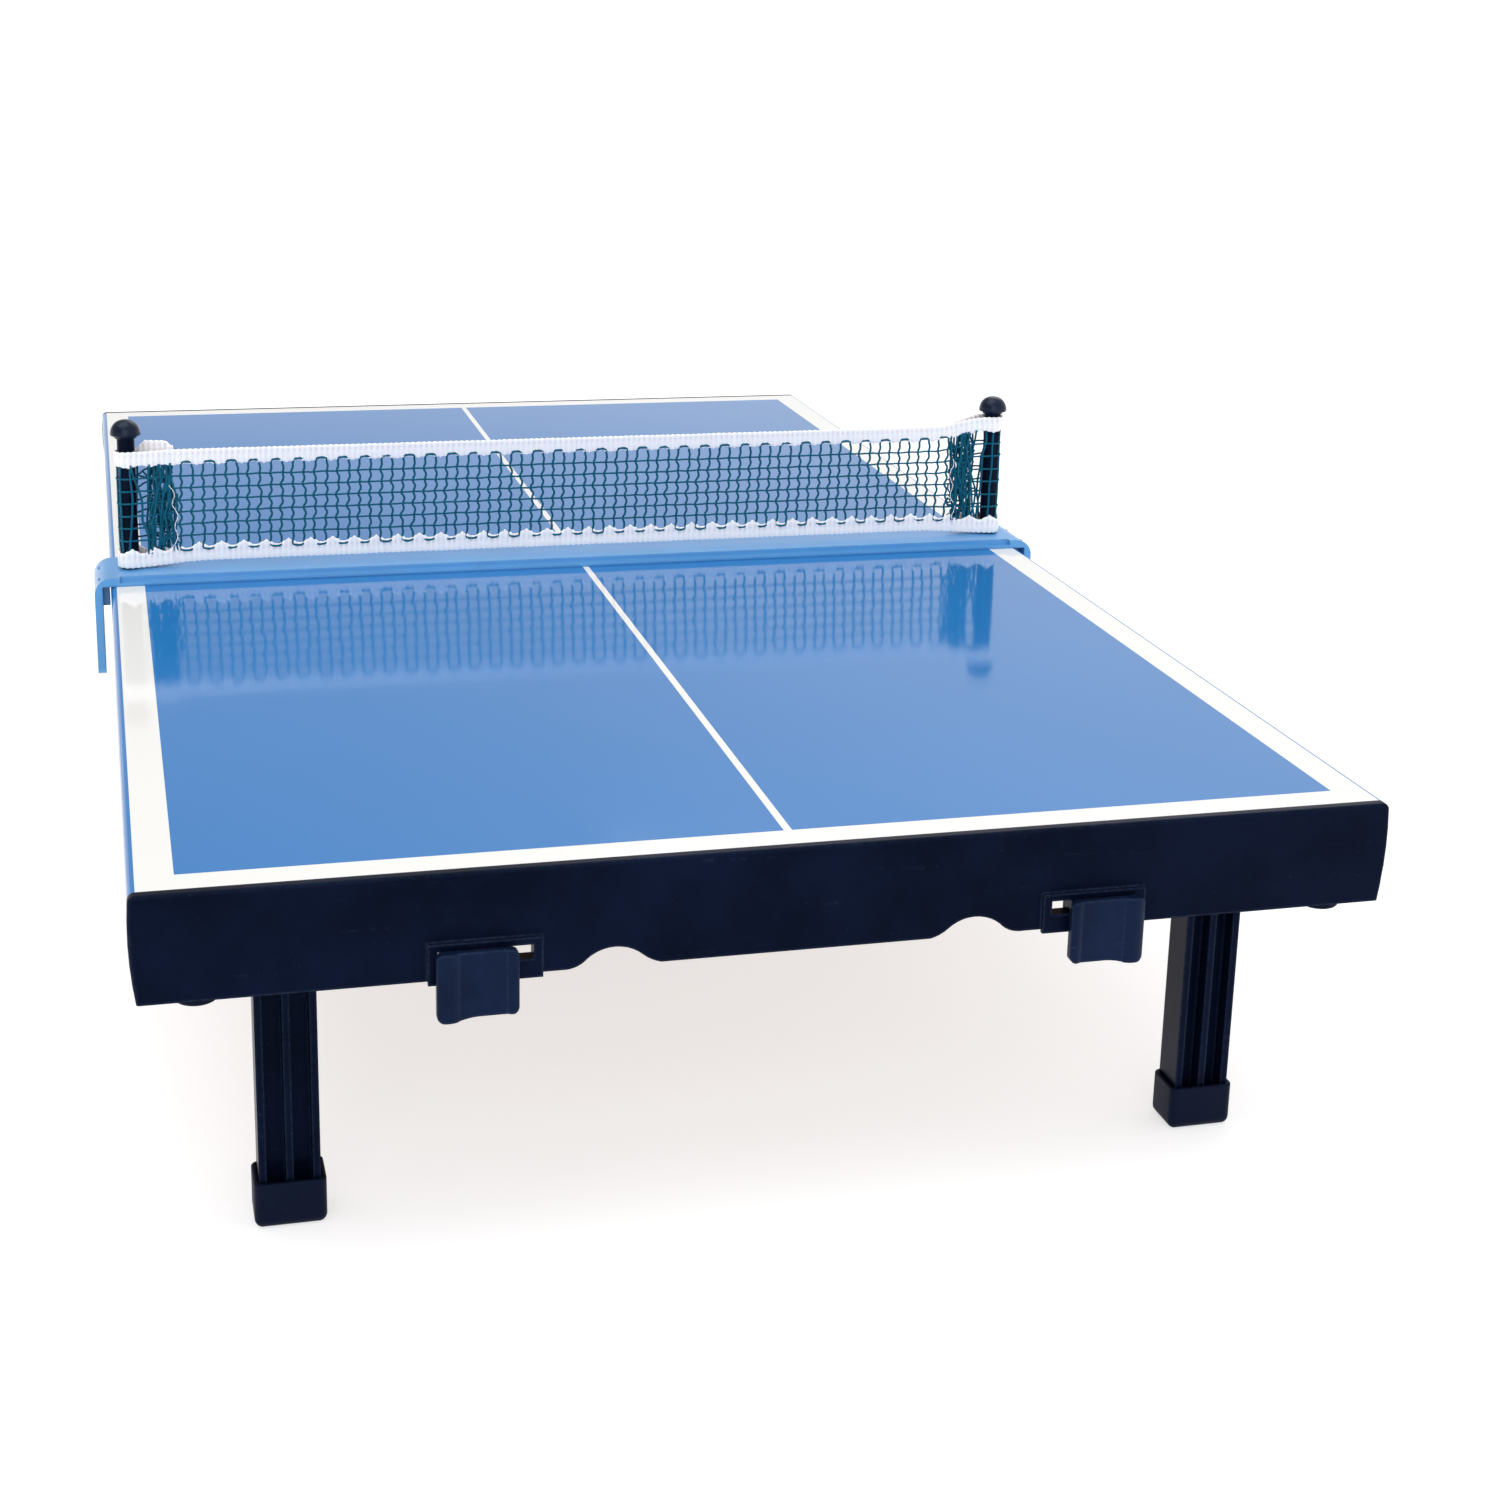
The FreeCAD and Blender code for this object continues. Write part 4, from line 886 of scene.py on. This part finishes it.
class TTABLE_OT_metal(bpy.types.Operator):
    """Plated hinges, pins and screws"""
    bl_idname = "ttable.metal"
    bl_label = "Hinges and screws"

    def execute(self, context):
        steel = context.scene.ttable_colours.steel
        leaf = plated_steel("hinge_steel", steel, (60, 2600, 2600))
        wears([f"{half}_{side}_hinge_leaf" for half in HALVES for side in SIDES], leaf)
        pin = plated_steel("pin_steel", np.array(steel) * 1.05, (60, 3000, 3000))
        wears([f"{half}_{side}_leg_pin" for half in HALVES for side in SIDES], pin)
        wears([side + "_hinge_pin" for side in SIDES], pin)
        screw = plated_steel("screw_steel", np.array(steel) * 0.9, (2400, 2400, 300))
        wears([f"{half}_{part}_screws" for half in HALVES for part in ("rail", "hinge", "bracket")], screw)
        wears([side + "_clip_screw" for side in SIDES], screw)
        return {"FINISHED"}


class TTABLE_OT_bar(bpy.types.Operator):
    """Blue plastic of the bar that carries the net"""
    bl_idname = "ttable.bar"
    bl_label = "Net bar"

    def execute(self, context):
        plastic = moulded_plastic("bar_plastic", context.scene.ttable_colours.bar, 0.24, grain=0.08,
                                  scuffs=0.0, edge_wear_and_highlight=0.2, gleam=(0.5, (1.0, 1.0, 1.0)),
                                  mottle=(0.95, 1.04))
        wears(["net_bar"], plastic)
        return {"FINISHED"}


class TTABLE_OT_posts(bpy.types.Operator):
    """Posts and their domed caps"""
    bl_idname = "ttable.posts"
    bl_label = "Posts and caps"

    def execute(self, context):
        colours = context.scene.ttable_colours
        plastic = moulded_plastic("post_plastic", colours.post, 0.3, grain=0.1, scuffs=0.6)
        wears([side + "_net_post" for side in SIDES], plastic)
        gloss = moulded_plastic("cap_plastic", np.array(colours.post) * 1.15, 0.22, grain=0.06, scuffs=0.7,
                                gleam=(0.3, (0.6, 0.75, 1.0)))
        for side in SIDES:
            name = side + "_post_cap"
            low, high = corners(name)
            radius = (high[0] - low[0]) / 2
            height = high[2] - low[2]
            neck, lip = 0.0009, 0.0004
            under = np.linspace(-math.pi / 2, 0, 7)
            over = np.linspace(0, math.pi / 2, 17)[1:]
            rim = np.stack([radius - lip + lip * np.cos(under), neck + lip + lip * np.sin(under)], axis=-1)
            dome = np.stack([radius * np.cos(over) ** 0.86,
                             neck + lip + (height - neck - lip) * np.sin(over)], axis=-1)
            dome[-1, 0] = radius * 0.02
            dimple = 0.0005
            inner = np.array([[radius * 0.02, dimple], [radius * 0.62, dimple], [radius * 0.68, 0.0],
                              [radius * 0.72, 0.0], [radius * 0.76, neck * 0.8], [radius * 0.84, neck]])
            profile = np.concatenate([inner, rim, dome])
            centre = np.array([(low[0] + high[0]) / 2, (low[1] + high[1]) / 2, low[2]])
            points, faces = revolved(profile, centre)
            cap = new_piece(name + "_dome", points, faces, "net_set", gloss)
            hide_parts(name)
        return {"FINISHED"}


class TTABLE_OT_net(bpy.types.Operator):
    """Net of looped threads with its sleeves and two knitted tapes"""
    bl_idname = "ttable.net"
    bl_label = "Net and tapes"

    def execute(self, context):
        sizes = context.scene.ttable_net
        colours = context.scene.ttable_colours
        rng = np.random.default_rng(11)
        plan = PlanLine(sizes.sleeve, clear=0.00045, ply=0.0007)
        tape_plan = PlanLine(sizes.sleeve, clear=0.0009, ply=0.0008)
        top_scallop, bottom_scallop, edge = -0.0007, 0.0019, 0.0002
        rows = sizes.cross_threads + 1
        shares = np.arange(1, rows) / rows
        yarn = net_yarn("net_yarn", colours.thread)
        cotton = knitted_cotton("net_tape_cotton", colours.tape)
        points, faces = gathered([cross_threads(plan, shares, sizes, rng), loop_threads(plan, sizes, rng),
                                  sleeve_threads(plan, sizes, rng), sleeve_tangles(plan, sizes, rng)])
        net = new_piece("net_threads", points, faces, "net_set", yarn)
        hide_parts("net_mesh")
        for name, node_name, raise_by, scallop in (
                ("top_tape_knit", "net_top_tape", top_rise, top_scallop),
                ("bottom_tape_knit", "net_bottom_tape", tape_lift, bottom_scallop)):
            low, high = corners(node_name)
            points, faces, hollow = tape_mesh(tape_plan, low[2] + edge, high[2] - edge, sizes, raise_by,
                                              scallop, phase=1.0 + 900 * scallop)
            tape = new_piece(name, points, faces, "net_set", cotton)
            # The hollow mask goes on the tape's points; the cotton material paints shade by it.
            mark = tape.data.attributes.new("hollow", "FLOAT", "POINT")
            mark.data.foreach_set("value", hollow.astype(np.float32))
            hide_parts(node_name)
        points, faces = seam_stitches(plan)
        stitches = new_piece("sleeve_stitches", points, faces, "net_set", cotton)
        return {"FINISHED"}


class TTABLE_OT_stage(bpy.types.Operator):
    """Floor, soft lights and camera"""
    bl_idname = "ttable.stage"
    bl_label = "Stage"

    def execute(self, context):
        scene = context.scene
        settings = scene.ttable_stage
        material, tree, shader = new_finish("floor_paper", {"Roughness": 0.95, "Specular IOR Level": 0.0})
        tone = noise(tree, place(tree), 3, 3, 0.6)
        pale = np.array(settings.floor)
        reach = node(tree, "ShaderNodeVectorMath", {"operation": "LENGTH"},
                     {0: place(tree)}).outputs["Value"]
        near, far, far_glow = 0.5, 2.2, 0.98
        away = step_up(tree, reach, near, far)
        paper = mixed(tree, tone, rgba(pale * 0.55), rgba(pale * 0.56))
        tree.links.new(mixed(tree, away, paper, rgba(pale * 0.1)), shader.inputs["Base Color"])
        shader.inputs["Emission Color"].default_value = rgba(pale)
        tree.links.new(maths(tree, "MULTIPLY_ADD", away, far_glow - settings.glow, settings.glow),
                       shader.inputs["Emission Strength"])
        half_size, cells = 14.0, 8
        edge = np.linspace(-half_size, half_size, cells + 1)
        x, y = np.meshgrid(edge, edge)
        points = np.stack([x.ravel(), y.ravel(), 0 * x.ravel()], axis=-1)
        row, column = np.meshgrid(np.arange(cells), np.arange(cells), indexing="ij")
        first = (row * (cells + 1) + column).ravel()
        faces = np.stack([first, first + 1, first + cells + 2, first + cells + 1], axis=-1).tolist()
        mesh = bpy.data.meshes.new("floor")
        mesh.from_pydata(points.tolist(), [], faces)
        mesh.materials.append(material)
        floor = bpy.data.objects.new("floor", mesh)
        scene.collection.objects.link(floor)
        world = bpy.data.worlds.new("studio")
        world.use_nodes = True
        sky = world.node_tree.nodes["Background"]
        sky.inputs["Strength"].default_value = 1.0
        tree = world.node_tree
        split = node(tree, "ShaderNodeSeparateXYZ", None,
                     {0: node(tree, "ShaderNodeTexCoord").outputs["Generated"]})
        dim, ceiling, window, white = (0.44, 0.44, 0.45), (0.60,) * 3, (0.92,) * 3, (1.02,) * 3
        backdrop = step_up(tree, split.outputs["Z"], 0.26, 0.11)
        above = step_up(tree, split.outputs["Z"], 0.15, 0.95)
        room = mixed(tree, above, rgba(dim), rgba(ceiling))
        aside = step_up(tree, split.outputs["X"], -0.05, 0.5)
        room = mixed(tree, aside, room, rgba(window))
        tree.links.new(mixed(tree, backdrop, room, rgba(white)), sky.inputs["Color"])
        scene.world = world
        middle = (corners("near_board")[0] + corners("far_board")[1]) / 2
        middle[2] = corners("near_board")[1][2]
        for name, offset, power, width in LIGHTS:
            light = bpy.data.lights.new(name, "AREA")
            light.energy = power
            light.size = width
            lamp = bpy.data.objects.new(name, light)
            scene.collection.objects.link(lamp)
            spot = middle + np.array(offset)
            lamp.location = spot
            lamp.rotation_euler = Vector(middle - spot).to_track_quat("-Z", "Y").to_euler()
        camera = bpy.data.cameras.new("camera")
        camera.lens = settings.lens
        camera.sensor_width = 36.0
        camera.shift_y = -0.10
        holder = bpy.data.objects.new("camera", camera)
        scene.collection.objects.link(holder)
        turn = (Matrix.Rotation(-settings.heading, 4, "Z")
                @ Matrix.Rotation(math.pi / 2 - settings.dip, 4, "X")
                @ Matrix.Rotation(settings.roll, 4, "Z"))
        holder.matrix_world = Matrix.Translation(middle + np.array(settings.place)) @ turn
        scene.camera = holder
        scene.view_settings.view_transform = "Standard"
        return {"FINISHED"}


OPERATORS = (TTABLE_OT_stage, TTABLE_OT_boards, TTABLE_OT_rails, TTABLE_OT_legs, TTABLE_OT_feet,
             TTABLE_OT_clips, TTABLE_OT_metal, TTABLE_OT_bar, TTABLE_OT_posts, TTABLE_OT_net)


class TTABLE_PT_panel(bpy.types.Panel):
    """Sidebar panel that lists the operators and their sizes"""
    bl_idname = "TTABLE_PT_panel"
    bl_label = "Table tennis table"
    bl_space_type = "VIEW_3D"
    bl_region_type = "UI"
    bl_category = "Table"

    def draw(self, context):
        for operator in OPERATORS:
            self.layout.operator(operator.bl_idname)
        for group in GROUPS:
            box = self.layout.box()
            settings = getattr(context.scene, group)
            for name in settings.bl_rna.properties.keys():
                if name not in ("rna_type", "name"):
                    box.prop(settings, name)


CLASSES = (*GROUPS.values(), *OPERATORS, TTABLE_PT_panel)


def register():
    for item in CLASSES:
        bpy.utils.register_class(item)
    for name, group in GROUPS.items():
        setattr(bpy.types.Scene, name, bpy.props.PointerProperty(type=group))


def unregister():
    for name in GROUPS:
        delattr(bpy.types.Scene, name)
    for item in reversed(CLASSES):
        bpy.utils.unregister_class(item)


def main():
    register()
    for operator in OPERATORS:
        family, name = operator.bl_idname.split(".")
        getattr(getattr(bpy.ops, family), name)()


if __name__ == "__main__":
    main()
